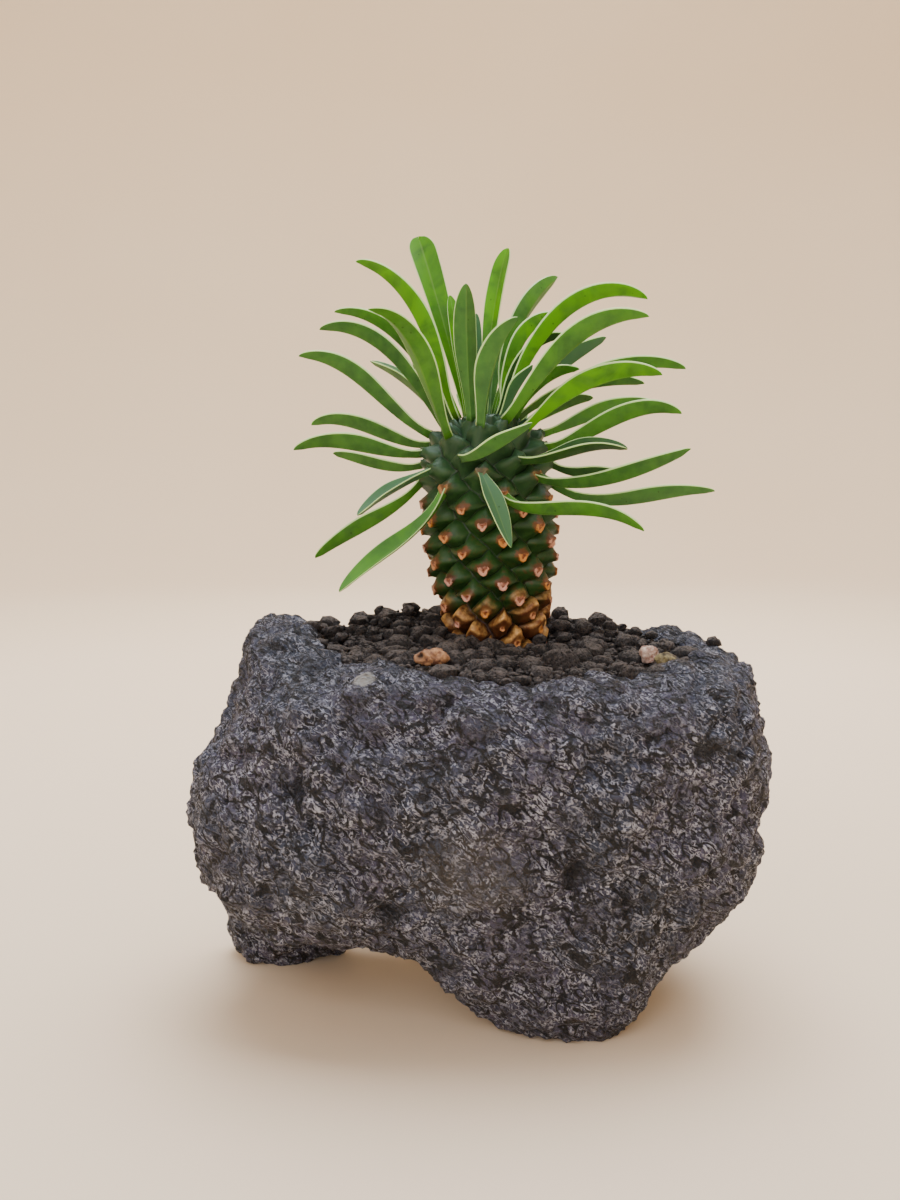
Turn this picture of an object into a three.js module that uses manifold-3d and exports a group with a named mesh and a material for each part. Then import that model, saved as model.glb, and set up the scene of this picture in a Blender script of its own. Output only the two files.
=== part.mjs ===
// Pinecone euphorbia: a spineless succulent with a trunk covered in spiral tubercles and a
// rosette of strap leaves, planted in lava grit in a bowl hollowed out of a lava rock.
// Millimetres, +Z up, -Y is the front. The rock stands on three feet at z = 0.
import * as THREE from "three";
import { mergeVertices } from "three/addons/utils/BufferGeometryUtils.js";
import Module from "manifold-3d";

const wasm = await Module();
wasm.setup();

// ---------------------------------------------------------------- main sizes

// Middle of the whole part's outline seen from above: the origin goes there, on the floor.
const OUTLINE_MIDDLE = [0.3, 10];

// Gap left between two pieces that touch.
const SEAT = 0.3;

// The bowl hollowed out of the rock: middle, half sizes across and deep, edge and depth.
const BOWL_CENTRE = [9, -3];
const BOWL_HALF = [70, 49];
const BOWL_EDGE_HEIGHT = 125;
const BOWL_DEPTH = 58;
const BOWL_SIDES = 48;

// Foot of the trunk where it leaves the grit, and its lean to the left in degrees.
const PLANT_FOOT = [9, 19, 130];
const PLANT_LEAN = 4.3;

// Radius of the grooves between tubercles, and how far a full tubercle stands out of them.
const GROOVE_RADIUS = 21;
const TUBERCLE_HEIGHT = 4.6;
const TUBERCLE_DROP = 1.2;

// The crown is a low dome on the trunk: height of its start, radius, height of the dome.
const CROWN_START = 68;
const CROWN_RADIUS = 20;
const CROWN_HEIGHT = 14;

// Thickness of a leaf blade at its margins and along its midrib, and its number of spans.
const MARGIN_THICK = 0.65;
const MIDRIB_THICK = 1.5;
const LEAF_STATIONS = 11;

const RAD = Math.PI / 180;

// ---------------------------------------------------------------- small tools

function smooth(low, high, value) {
  const t = Math.min(1, Math.max(0, (value - low) / (high - low)));
  return t * t * (3 - 2 * t);
}

function smoothMin(a, b, blend) {
  const h = Math.max(0, blend - Math.abs(a - b)) / blend;
  return Math.min(a, b) - (h * h * blend) / 4;
}

function smoothMax(a, b, blend) {
  return -smoothMin(-a, -b, blend);
}

// Soft lumps, about one every `size` millimetres, between -1 and 1.
function lumps(x, y, z, size) {
  const k = (2 * Math.PI) / size;
  const a = Math.sin(k * x + 1.9 * Math.sin(0.61 * k * y + 0.7));
  const b = Math.sin(k * y + 1.7 * Math.sin(0.57 * k * z + 2.1));
  const c = Math.sin(k * z + 1.8 * Math.sin(0.66 * k * x + 4.2));
  return (a + b + c) / 3;
}

function closedGeometry(positions, triangles) {
  const geometry = new THREE.BufferGeometry();
  geometry.setAttribute("position", new THREE.Float32BufferAttribute(positions.flat(), 3));
  geometry.setIndex(triangles.flat());
  return geometry;
}

// Same body without normals and texture coordinates, its equal corners joined.
function welded(geometry) {
  const bare = geometry.clone();
  bare.deleteAttribute("normal");
  bare.deleteAttribute("uv");
  return mergeVertices(bare, 1e-4);
}

function toSolid(geometry) {
  const bare = welded(geometry);
  const mesh = new wasm.Mesh({
    numProp: 3,
    vertProperties: new Float32Array(bare.attributes.position.array),
    triVerts: new Uint32Array(bare.index.array),
  });
  return new wasm.Manifold(mesh);
}

function fromSolid(solid) {
  const mesh = solid.getMesh();
  const geometry = new THREE.BufferGeometry();
  geometry.setAttribute("position", new THREE.BufferAttribute(mesh.vertProperties, 3));
  geometry.setIndex(new THREE.BufferAttribute(mesh.triVerts, 1));
  return geometry;
}

// ---------------------------------------------------------------- the lava rock

// The rock's surface is found along rays from this point inside it.
const ROCK_CORE = new THREE.Vector3(2, -4, 68);
const ROCK_DETAIL = 12;

// Rounded masses that make up the rock: middle, half sizes, how square each is.
const ROCK_MASSES = [
  { at: [2, -3, 88], half: [93, 74, 56], square: 2.6 },
  { at: [65, -4, 97], half: [33, 50, 42], square: 3.2 },
  { at: [53, -12, 57], half: [42, 48, 38], square: 2.2 },
  { at: [-46, -11, 66], half: [56, 54, 41], square: 2.2 },
  { at: [29, -36, 26], half: [32, 24, 33], square: 2.3 },
  { at: [-3, -30, 34], half: [20, 26, 18], square: 2.2 },
  { at: [-72, 30, 20], half: [27, 20, 28], square: 2.3 },
  { at: [52, 40, 24], half: [24, 24, 32], square: 2.2 },
  { at: [-65, 6, 118], half: [18, 30, 27], square: 2.2 },
];
const ROCK_BLEND = 16;

function massField(mass, x, y, z) {
  const dx = Math.abs(x - mass.at[0]) / mass.half[0];
  const dy = Math.abs(y - mass.at[1]) / mass.half[1];
  const dz = Math.abs(z - mass.at[2]) / mass.half[2];
  const p = mass.square;
  const reach = Math.pow(dx ** p + dy ** p + dz ** p, 1 / p);
  return (reach - 1) * Math.min(...mass.half);
}

// Height of the broken rim: highest at the left corner, with a low hump at the right back.
function rimHeight(x, y) {
  const corner = Math.exp(-((x + 80) ** 2 + (y - 8) ** 2) / 900);
  const hump = Math.exp(-((x - 78) ** 2 + (y - 38) ** 2) / 600);
  return 127 + 14 * corner + 6 * hump + 3 * smooth(10, -30, x) + 1.2 * lumps(x, y, 0, 34);
}

function rockField(x, y, z) {
  let field = 1e9;
  for (const mass of ROCK_MASSES) {
    field = smoothMin(field, massField(mass, x, y, z), ROCK_BLEND);
  }
  return smoothMax(field, z - rimHeight(x, y), 7);
}

function rockReach(direction) {
  const point = new THREE.Vector3();
  const fieldAt = (distance) => {
    point.copy(ROCK_CORE).addScaledVector(direction, distance);
    return rockField(point.x, point.y, point.z);
  };
  let outer = 170;
  while (fieldAt(outer - 2) > 0) {
    outer -= 2;
  }
  let inner = outer - 2;
  for (let step = 0; step < 14; step += 1) {
    const middle = (inner + outer) / 2;
    if (fieldAt(middle) > 0) {
      outer = middle;
    } else {
      inner = middle;
    }
  }
  point.copy(ROCK_CORE).addScaledVector(direction, inner);
  const rough = 2.3 * lumps(point.x, point.y, point.z, 44) + 1.2 * lumps(point.y, point.z, point.x, 21);
  const reach = inner + rough;
  const floor = direction.z < 0 ? -ROCK_CORE.z / direction.z : Infinity;
  return Math.min(reach, floor);
}

function rockBody() {
  const geometry = welded(new THREE.IcosahedronGeometry(1, ROCK_DETAIL));
  const positions = geometry.attributes.position;
  const direction = new THREE.Vector3();
  for (let i = 0; i < positions.count; i += 1) {
    direction.fromBufferAttribute(positions, i).normalize();
    const reach = rockReach(direction);
    direction.multiplyScalar(reach).add(ROCK_CORE);
    positions.setXYZ(i, direction.x, direction.y, Math.max(0, direction.z));
  }
  return geometry;
}

// ---------------------------------------------------------------- the bowl in the rock

// One ring of the bowl's wall; `fall` runs from 0 at the edge to 1 at the bottom.
function bowlRing(fall, inset) {
  const share = Math.sqrt(Math.max(0, 1 - fall ** 2.4));
  const ring = [];
  for (let i = 0; i < BOWL_SIDES; i += 1) {
    const angle = (i / BOWL_SIDES) * 2 * Math.PI;
    const wave = 1 + 0.025 * Math.sin(3 * angle + 1) + 0.015 * Math.sin(7 * angle);
    ring.push([
      BOWL_CENTRE[0] + Math.cos(angle) * (BOWL_HALF[0] * wave * share - inset),
      BOWL_CENTRE[1] + Math.sin(angle) * (BOWL_HALF[1] * wave * share - inset),
      BOWL_EDGE_HEIGHT - BOWL_DEPTH * fall + inset,
    ]);
  }
  return ring;
}

// Closed body from rings listed bottom to top, with a middle point at each end.
function ringBody(bottom, rings, top) {
  const sides = rings[0].length;
  const positions = [bottom, ...rings.flat(), top];
  const last = positions.length - 1;
  const triangles = [];
  for (let i = 0; i < sides; i += 1) {
    const next = (i + 1) % sides;
    triangles.push([0, 1 + next, 1 + i]);
    for (let level = 0; level + 1 < rings.length; level += 1) {
      const low = 1 + level * sides;
      const high = low + sides;
      triangles.push([low + i, low + next, high + next]);
      triangles.push([low + i, high + next, high + i]);
    }
    const rim = 1 + (rings.length - 1) * sides;
    triangles.push([rim + i, rim + next, last]);
  }
  return closedGeometry(positions, triangles);
}

const BOWL_LEVELS = [0.97, 0.86, 0.66, 0.4, 0.15, 0];

function bowlCutter() {
  const rings = BOWL_LEVELS.map((fall) => bowlRing(fall, 0));
  const edge = rings[rings.length - 1];
  rings.push(edge.map(([x, y]) => [x, y, 170]));
  const [x, y] = BOWL_CENTRE;
  return ringBody([x, y, BOWL_EDGE_HEIGHT - BOWL_DEPTH], rings, [x, y, 170]);
}

// ---------------------------------------------------------------- the trunk

// Tubercles follow one spiral: each is this far round and this far up from the last.
const DIVERGENCE = -137.03;
const RISE = 0.765;
const FIRST_AZIMUTH = -139.5;
const FIRST_HEIGHT = -7.7;
const TUBERCLES = 168;

// Tubercles stand in slanting rows of every eighth. Each row lies this share of a tubercle off
// the next one, like bricks, so a tubercle is a wide diamond. Its top corner is this many steps
// up and this many degrees round from its middle.
const ROW_SHIFT = 0.62;
const HALF_STEPS = (21 - 8 * ROW_SHIFT) / 2;
const HALF_TURN = (21 * DIVERGENCE + 8 * 360 - ROW_SHIFT * (8 * DIVERGENCE + 3 * 360)) / 2;

// Spiral index at which the crown's dome starts.
const CROWN_INDEX = (CROWN_START - FIRST_HEIGHT) / RISE;

// Leaves grow from here up, so tubercles tip up instead of drooping.
const YOUNG_INDEX = 84;

function azimuthAt(index) {
  return (FIRST_AZIMUTH + DIVERGENCE * index) * RAD;
}

// Point on the trunk's outline at a spiral index: radius, height, tilt of its surface.
function outlineAt(index) {
  if (index <= CROWN_INDEX) {
    const height = FIRST_HEIGHT + RISE * index;
    const foot = 7.5 * (1 - smooth(-8, 40, height));
    const neck = (GROOVE_RADIUS - CROWN_RADIUS) * smooth(48, CROWN_START, height);
    return { radius: GROOVE_RADIUS - foot - neck, height, tilt: 0, size: 1 };
  }
  const step = 0.25;
  let angle = 0;
  for (let walked = CROWN_INDEX; walked < index; walked += step) {
    const speed = Math.hypot(CROWN_RADIUS * Math.sin(angle), CROWN_HEIGHT * Math.cos(angle));
    angle += (Math.min(step, index - walked) * RISE * Math.cos(angle)) / speed;
  }
  return {
    radius: CROWN_RADIUS * Math.cos(angle),
    height: CROWN_START + CROWN_HEIGHT * Math.sin(angle),
    tilt: Math.atan2(CROWN_RADIUS * Math.sin(angle), CROWN_HEIGHT * Math.cos(angle)),
    size: Math.cos(angle),
  };
}

function outward(azimuth, tilt) {
  return new THREE.Vector3(
    Math.cos(azimuth) * Math.cos(tilt),
    Math.sin(azimuth) * Math.cos(tilt),
    Math.sin(tilt),
  );
}

// The flat leaf scar at a tubercle's tip: its middle, outward normal, side and up vectors.
function scarAt(index, grow = 0) {
  const azimuth = azimuthAt(index);
  const outline = outlineAt(index);
  const normal = outward(azimuth, outline.tilt);
  const young = smooth(YOUNG_INDEX - 8, YOUNG_INDEX + 6, index);
  const size = 0.35 + 0.65 * outline.size;
  const middle = new THREE.Vector3(
    Math.cos(azimuth) * outline.radius,
    Math.sin(azimuth) * outline.radius,
    outline.height,
  );
  middle.addScaledVector(normal, TUBERCLE_HEIGHT * size + grow);
  middle.addScaledVector(outward(azimuth, outline.tilt + Math.PI / 2), 3.5 * young * outline.size);
  const facing = outward(azimuth, outline.tilt + (-8 + 36 * young * outline.size) * RAD);
  const side = new THREE.Vector3(-Math.sin(azimuth), Math.cos(azimuth), 0);
  const up = new THREE.Vector3().crossVectors(facing, side);
  return { middle, facing, side, up, size, azimuth };
}

// Shield-shaped outline of a leaf scar, across and up, counter-clockwise from its top left.
const SCAR = [
  [-1.9, 1.2],
  [-1.5, -1],
  [0, -2.2],
  [1.5, -1],
  [1.9, 1.2],
];

function trunk(grow = 0) {
  const positions = [];
  const triangles = [];
  const cornerIds = new Map();
  // Top corner (end 1) or bottom corner (end -1) of a tubercle, in the grooves.
  const corner = (index, end) => {
    const key = `${index},${end}`;
    if (!cornerIds.has(key)) {
      const outline = outlineAt(index + end * HALF_STEPS + TUBERCLE_DROP / RISE);
      const azimuth = azimuthAt(index) + end * HALF_TURN * RAD;
      const radius = outline.radius + grow;
      positions.push([Math.cos(azimuth) * radius, Math.sin(azimuth) * radius, outline.height]);
      cornerIds.set(key, positions.length - 1);
    }
    return cornerIds.get(key);
  };
  for (let index = 0; index < TUBERCLES; index += 1) {
    const scar = scarAt(index, grow);
    const top = corner(index, 1);
    const left = corner(index + 8, -1);
    const lowLeft = corner(index - 13, 1);
    const bottom = corner(index, -1);
    const right = corner(index - 8, 1);
    const highRight = corner(index + 13, -1);
    const first = positions.length;
    for (const [across, up] of SCAR) {
      const point = scar.middle.clone();
      point.addScaledVector(scar.side, across * scar.size);
      point.addScaledVector(scar.up, up * scar.size);
      positions.push(point.toArray());
    }
    const [a, b, c, d, e] = [0, 1, 2, 3, 4].map((offset) => first + offset);
    triangles.push([a, b, c], [a, c, d], [a, d, e]);
    triangles.push([top, left, a], [left, lowLeft, b], [left, b, a], [lowLeft, bottom, c]);
    triangles.push([lowLeft, c, b], [bottom, right, d], [bottom, d, c], [right, highRight, e]);
    triangles.push([right, e, d], [highRight, top, e], [top, a, e]);
  }
  closeEnds(positions, triangles, [0, 0, -17 - grow], [0, 0, CROWN_START + CROWN_HEIGHT + 1 + grow]);
  return closedGeometry(positions, triangles);
}

// Joins each open edge to the pole on its own side of the trunk.
function closeEnds(positions, triangles, lowPole, highPole) {
  const used = new Set();
  for (const [a, b, c] of triangles) {
    used.add(`${a},${b}`).add(`${b},${c}`).add(`${c},${a}`);
  }
  positions.push(lowPole, highPole);
  for (const edge of [...used]) {
    const [a, b] = edge.split(",").map(Number);
    if (!used.has(`${b},${a}`)) {
      const pole = positions[a][2] < 30 ? positions.length - 2 : positions.length - 1;
      triangles.push([b, a, pole]);
    }
  }
}

// ---------------------------------------------------------------- the leaves

// Each leaf grows from the scar `spot`. `turn` is how far round from that scar it points at
// its foot and at its tip, `rise` its slope at foot, middle and tip, both in degrees. `wide`
// is the blade laid flat, `fold` how far each half is raised, `roll` its twist about its length.
const LEAVES = [
  { spot: 81, turn: [25, 65], rise: [-28, -3, -45], long: 60, wide: 10, roll: -20 },
  { spot: 83, turn: [0, 0], rise: [-38, 3, -8], long: 66, wide: 10 },
  { spot: 84, turn: [-20, -35], rise: [-57, -30, -40], long: 55, wide: 11, roll: 20 },
  { spot: 85, turn: [0, 0], rise: [-20, 5, 0], long: 55, wide: 10 },
  { spot: 86, turn: [0, 30], rise: [-18, 10, 26], long: 62, wide: 9 },
  { spot: 87, turn: [0, -10], rise: [-48, -26, -32], long: 51, wide: 10 },
  { spot: 89, turn: [20, 50], rise: [-35, -60, -65], long: 32, wide: 8.5, fold: 20 },
  { spot: 90, turn: [-20, -25], rise: [-25, 0, -5], long: 46, wide: 10 },
  { spot: 91, turn: [0, 0], rise: [-38, -5, 0], long: 31, wide: 8 },
  { spot: 92, turn: [5, 5], rise: [-18, -22, -30], long: 37, wide: 6.8 },
  { spot: 93, turn: [0, 0], rise: [-20, 5, 0], long: 52, wide: 10 },
  { spot: 94, turn: [25, 50], rise: [-10, 10, -25], long: 41, wide: 10, roll: 25 },
  { spot: 95, turn: [0, 0], rise: [-15, 17, 15], long: 38, wide: 8 },
  { spot: 97, turn: [50, 90], rise: [-5, 20, 30], long: 37, wide: 9 },
  { spot: 98, turn: [-12, -15], rise: [-10, 15, 0], long: 50, wide: 10 },
  { spot: 99, turn: [0, 8], rise: [0, 19, -28], long: 53, wide: 10 },
  { spot: 100, turn: [0, 0], rise: [-3, 13, -20], long: 49, wide: 10 },
  { spot: 101, turn: [20, 20], rise: [0, 20, 5], long: 50, wide: 9 },
  { spot: 103, turn: [10, 15], rise: [0, 22, -18], long: 54, wide: 9 },
  { spot: 104, turn: [0, 0], rise: [8, 14, -5], long: 46, wide: 9 },
  { spot: 105, turn: [5, -5], rise: [60, 56, -5], long: 62, wide: 11.5, fold: 22 },
  { spot: 106, turn: [0, 0], rise: [15, 25, 5], long: 50, wide: 10 },
  { spot: 107, turn: [10, 25], rise: [29, 17, -17], long: 56, wide: 12.5, fold: 35, roll: -25 },
  { spot: 108, turn: [0, 0], rise: [30, 43, 0], long: 58, wide: 10 },
  { spot: 109, turn: [-15, -25], rise: [12, 17, 5], long: 36, wide: 9 },
  { spot: 110, turn: [28, 52], rise: [68, 57, 33], long: 44, wide: 11 },
  { spot: 111, turn: [15, 15], rise: [48, 38, 22], long: 48, wide: 8 },
  { spot: 112, turn: [0, 10], rise: [33, 14, -20], long: 64, wide: 10 },
  { spot: 114, turn: [0, 0], rise: [45, 50, 30], long: 48, wide: 10 },
  { spot: 115, turn: [25, 40], rise: [38, 34, -14], long: 67, wide: 11 },
  { spot: 116, turn: [0, 0], rise: [58, 46, -8], long: 65, wide: 10 },
  { spot: 117, turn: [-8, -10], rise: [28, 8, -8], long: 58, wide: 9 },
  { spot: 118, turn: [18, 30], rise: [78, 72, 62], long: 50, wide: 11 },
  { spot: 119, turn: [14, 2], rise: [76, 70, 62], long: 79, wide: 12.5, fold: 15, blunt: 1 },
  { spot: 120, turn: [0, 0], rise: [48, 30, -5], long: 32, wide: 8 },
  { spot: 121, turn: [-10, -20], rise: [66, 60, 50], long: 26, wide: 7 },
  { spot: 122, turn: [-12, -16], rise: [68, 50, 20], long: 74, wide: 10.5, fold: 25 },
  { spot: 124, turn: [8, 8], rise: [60, 46, 0], long: 70, wide: 9 },
  { spot: 125, turn: [0, 10], rise: [42, 31, 29], long: 50, wide: 10 },
  { spot: 127, turn: [-14, -24], rise: [70, 72, 68], long: 43, wide: 7.5 },
  { spot: 128, turn: [20, 20], rise: [60, 52, 45], long: 22, wide: 7 },
  { spot: 129, turn: [-15, -20], rise: [70, 66, 14], long: 74, wide: 10 },
  { spot: 130, turn: [-10, -12], rise: [66, 51, -8], long: 54, wide: 8 },
  { spot: 132, turn: [-28, -30], rise: [78, 75, 60], long: 50, wide: 8 },
  { spot: 133, turn: [5, 20], rise: [62, 38, -25], long: 79, wide: 10 },
  { spot: 135, turn: [-26, -38], rise: [76, 72, 62], long: 68, wide: 11, fold: 20, blunt: 1 },
  { spot: 138, turn: [-18, -18], rise: [62, 45, -25], long: 46, wide: 7 },
];

// Value along a leaf that runs through three settings at its foot, middle and tip.
function along([foot, middle, tip], t) {
  const bend = 2 * (foot - 2 * middle + tip);
  return foot + (tip - foot - bend) * t + bend * t * t;
}

// Half width of a blade as a share of its widest: a narrow foot, widest past the middle. A
// `blunt` blade keeps its width to a rounded tip.
function bladeShape(t, blunt) {
  const body = 0.34 + 0.66 * smooth(0.02, 0.6, t);
  const tip = Math.sqrt(Math.max(0, 1 - smooth(0.58 + 0.2 * blunt, 1.02, t) ** 1.6));
  return body * tip;
}

// Stations lie closer together towards the tip.
function bladeStation(share) {
  return share * (1.3 - 0.3 * share);
}

function leafBlade(leaf) {
  const scar = scarAt(leaf.spot);
  const half = leaf.wide / 2;
  const fold = leaf.fold ?? 40;
  const roll = (leaf.roll ?? 0) * RAD;
  const point = scar.middle.clone();
  const rings = [];
  for (let station = 0; station <= LEAF_STATIONS; station += 1) {
    const t = bladeStation(station / LEAF_STATIONS);
    const azimuth = scar.azimuth + (leaf.turn[0] + (leaf.turn[1] - leaf.turn[0]) * t) * RAD;
    const rise = along(leaf.rise, t) * RAD;
    const ahead = outward(azimuth, rise);
    const face = outward(azimuth, rise + Math.PI / 2).applyAxisAngle(ahead, roll * smooth(0, 0.3, t));
    const across = new THREE.Vector3().crossVectors(ahead, face);
    const reach = half * bladeShape(t, leaf.blunt ?? 0);
    const lift = fold * (0.7 + 0.3 * smooth(0, 0.3, t) - 0.35 * smooth(0.6, 1, t)) * RAD;
    const thick = MIDRIB_THICK - (MIDRIB_THICK - 0.9) * t;
    const ring = [];
    for (const [side, depth] of [[-1, 0], [0, 0], [1, 0], [1, 1], [0, 1], [-1, 1]]) {
      const corner = point.clone();
      corner.addScaledVector(across, side * reach * Math.cos(lift));
      corner.addScaledVector(face, Math.abs(side) * reach * Math.sin(lift));
      const skin = side === 0 ? thick : MARGIN_THICK;
      const under = face.clone().multiplyScalar(-depth * skin);
      ring.push(corner.add(under));
    }
    if (station === 0) {
      seatRing(ring, scar, ahead);
    }
    rings.push(ring);
    const next = Math.min(1, (station + 1) / LEAF_STATIONS);
    point.addScaledVector(ahead, (bladeStation(next) - t) * leaf.long);
  }
  return bladeBody(rings);
}

// Slides a leaf's foot along the leaf until it lies flat over its scar, a seat gap away.
function seatRing(ring, scar, ahead) {
  const along = Math.max(0.35, ahead.dot(scar.facing));
  for (const corner of ring) {
    const depth = corner.clone().sub(scar.middle).dot(scar.facing);
    corner.addScaledVector(ahead, (SEAT - depth) / along);
  }
}

// Both faces are split along the same diagonals, so the blade keeps its thickness.
function bladeBody(rings) {
  const positions = rings.flat().map((corner) => corner.toArray());
  const triangles = [];
  for (let level = 0; level + 1 < rings.length; level += 1) {
    const near = level * 6;
    const far = near + 6;
    for (let i = 0; i < 6; i += 1) {
      const j = (i + 1) % 6;
      const mirrored = i === 1 || i === 3;
      if (mirrored) {
        triangles.push([near + i, near + j, far + i], [near + j, far + j, far + i]);
      } else {
        triangles.push([near + i, near + j, far + j], [near + i, far + j, far + i]);
      }
    }
  }
  const last = (rings.length - 1) * 6;
  for (const [start, order] of [[0, 1], [last, -1]]) {
    for (const face of [[0, 5, 1], [1, 5, 4], [1, 4, 2], [2, 4, 3]]) {
      const corners = face.map((offset) => start + offset);
      triangles.push(order === 1 ? corners : corners.reverse());
    }
  }
  return closedGeometry(positions, triangles);
}

// ---------------------------------------------------------------- the grit

// Loose stones lying on the grit: middle, half sizes, turn about the upright, height of the bed.
const STONES = [
  { name: "stone_brick", at: [-15.5, -40], half: [5, 3.4, 2.6], turn: 10, bed: 129.2, color: 0x9c6a4a },
  { name: "stone_buff", at: [62, -15], half: [3, 2.8, 3.2], turn: 35, bed: 125.8, color: 0xa98a7c },
  { name: "stone_olive", at: [67.6, -20], half: [3.2, 2.6, 1.9], turn: -20, bed: 125.8, color: 0x6f6a50 },
];

// Lumpy surface of the grit: heaped round the trunk and banked up against the left wall.
function roughHeight(x, y) {
  const away = Math.hypot(x - PLANT_FOOT[0], y - PLANT_FOOT[1]);
  const heap = 4 * Math.exp(-((away / 40) ** 2)) + 2 * smooth(0, 35, y);
  const bank = smooth(20, -25, x) * (3 + 3.5 * smooth(-5, 35, y));
  const lump = 1.5 * lumps(x, y, 3, 15) + 1.1 * lumps(y, x, 9, 9.5);
  return 125.5 + heap + bank + lump;
}

// The grit is level under each loose stone.
function gritHeight(x, y) {
  let height = roughHeight(x, y);
  for (const stone of STONES) {
    const away = Math.hypot(x - stone.at[0], y - stone.at[1]);
    height += (stone.bed - height) * (1 - smooth(6, 11, away));
  }
  return height;
}

function looseStone(stone) {
  const geometry = welded(new THREE.IcosahedronGeometry(1, 3));
  const positions = geometry.attributes.position;
  const turn = new THREE.Matrix4().makeRotationZ(stone.turn * RAD);
  const point = new THREE.Vector3();
  for (let i = 0; i < positions.count; i += 1) {
    point.fromBufferAttribute(positions, i);
    const rough = 1 + 0.13 * lumps(point.x + stone.at[0], point.y, point.z, 1.7);
    point.multiplyScalar(rough);
    point.multiply(new THREE.Vector3(...stone.half));
    point.z = Math.max(point.z, -0.75 * stone.half[2]) + 0.75 * stone.half[2];
    point.applyMatrix4(turn);
    positions.setXYZ(i, point.x + stone.at[0], point.y + stone.at[1], point.z + stone.bed + SEAT);
  }
  return geometry;
}

const GRIT_RINGS = 15;

function grit() {
  const rings = BOWL_LEVELS.slice(0, -1).map((fall) => bowlRing(fall, SEAT));
  const edge = bowlRing(0, SEAT);
  const [cx, cy] = BOWL_CENTRE;
  for (let ring = GRIT_RINGS; ring > 0; ring -= 1) {
    const share = ring / GRIT_RINGS;
    rings.push(edge.map(([x, y]) => {
      const px = cx + (x - cx) * share;
      const py = cy + (y - cy) * share;
      return [px, py, gritHeight(px, py)];
    }));
  }
  const bottom = [cx, cy, BOWL_EDGE_HEIGHT - BOWL_DEPTH + SEAT];
  return ringBody(bottom, rings, [cx, cy, gritHeight(cx, cy)]);
}

// ---------------------------------------------------------------- assembly

const part = new THREE.Group();

function addPiece(name, geometry, color) {
  const material = new THREE.MeshStandardMaterial({ color });
  const mesh = new THREE.Mesh(geometry, material);
  mesh.name = name;
  part.add(mesh);
}

const plantPlace = new THREE.Matrix4()
  .makeTranslation(...PLANT_FOOT)
  .multiply(new THREE.Matrix4().makeRotationY(-PLANT_LEAN * RAD));

const rockSolid = toSolid(rockBody()).subtract(toSolid(bowlCutter()));
const trunkHole = toSolid(trunk(0.5).applyMatrix4(plantPlace));
const gritSolid = toSolid(grit()).subtract(trunkHole);

addPiece("rock_planter", fromSolid(rockSolid), 0x38353b);
addPiece("grit", fromSolid(gritSolid), 0x4b423f);
addPiece("trunk", trunk().applyMatrix4(plantPlace), 0x2b4f22);
for (const stone of STONES) {
  addPiece(stone.name, looseStone(stone), stone.color);
}
LEAVES.forEach((leaf, order) => {
  const name = `leaf_${String(order + 1).padStart(2, "0")}`;
  addPiece(name, leafBlade(leaf).applyMatrix4(plantPlace), 0x5c9a35);
});

for (const mesh of part.children) {
  mesh.geometry.translate(-OUTLINE_MIDDLE[0], -OUTLINE_MIDDLE[1], 0);
}

export default part;
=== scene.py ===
# Pinecone euphorbia, a spineless succulent with a scaly trunk and a rosette of strap leaves,
# growing in lava grit in a bowl hollowed out of a lava rock. Metres, +Z up, -Y is the front.
import math
import random

import bpy
from mathutils import Matrix, Vector, noise
from mathutils.bvhtree import BVHTree


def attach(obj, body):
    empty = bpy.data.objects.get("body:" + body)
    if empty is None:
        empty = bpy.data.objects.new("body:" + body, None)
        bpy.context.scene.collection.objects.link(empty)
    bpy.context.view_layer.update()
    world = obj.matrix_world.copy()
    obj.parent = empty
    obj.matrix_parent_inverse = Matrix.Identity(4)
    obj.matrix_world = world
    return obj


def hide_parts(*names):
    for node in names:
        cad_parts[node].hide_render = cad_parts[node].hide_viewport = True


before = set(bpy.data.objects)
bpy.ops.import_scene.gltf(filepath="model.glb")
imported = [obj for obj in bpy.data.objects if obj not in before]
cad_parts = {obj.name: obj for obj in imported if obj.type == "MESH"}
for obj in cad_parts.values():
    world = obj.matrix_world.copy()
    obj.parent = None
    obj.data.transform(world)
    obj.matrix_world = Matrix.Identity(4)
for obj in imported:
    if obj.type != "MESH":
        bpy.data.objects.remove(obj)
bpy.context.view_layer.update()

# ---------------------------------------------------------------- the studio
# A sheet of pale matt paper that lies flat under the planter and curves up a good way off.
# One wide soft light hangs overhead, a weaker one stands in front and a third lights the
# paper behind. The camera is half a metre away and looks slightly down on the rim.


def linear(hex_colour):
    """An sRGB hex colour as linear red, green, blue and alpha."""
    shares = [int(hex_colour[i:i + 2], 16) / 255 for i in (1, 3, 5)]
    return (*[s / 12.92 if s < 0.04045 else ((s + 0.055) / 1.055) ** 2.4 for s in shares], 1)


def add_node(material, kind, feeds=None, **settings):
    """Adds a node to a material, sets it up, and feeds its sockets with values or outputs."""
    node = material.node_tree.nodes.new(kind)
    for name, value in settings.items():
        setattr(node, name, value)
    for socket, value in (feeds or {}).items():
        if isinstance(value, bpy.types.NodeSocket):
            material.node_tree.links.new(value, node.inputs[socket])
        else:
            node.inputs[socket].default_value = value
    return node


def new_material(name):
    """An empty node material and its output node."""
    material = bpy.data.materials.new(name)
    material.use_nodes = True
    material.node_tree.nodes.clear()
    return material, add_node(material, "ShaderNodeOutputMaterial")


def only(piece):
    """Makes one piece the only selected and active one."""
    bpy.ops.object.select_all(action="DESELECT")
    bpy.context.view_layer.objects.active = piece
    piece.select_set(True)


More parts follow.
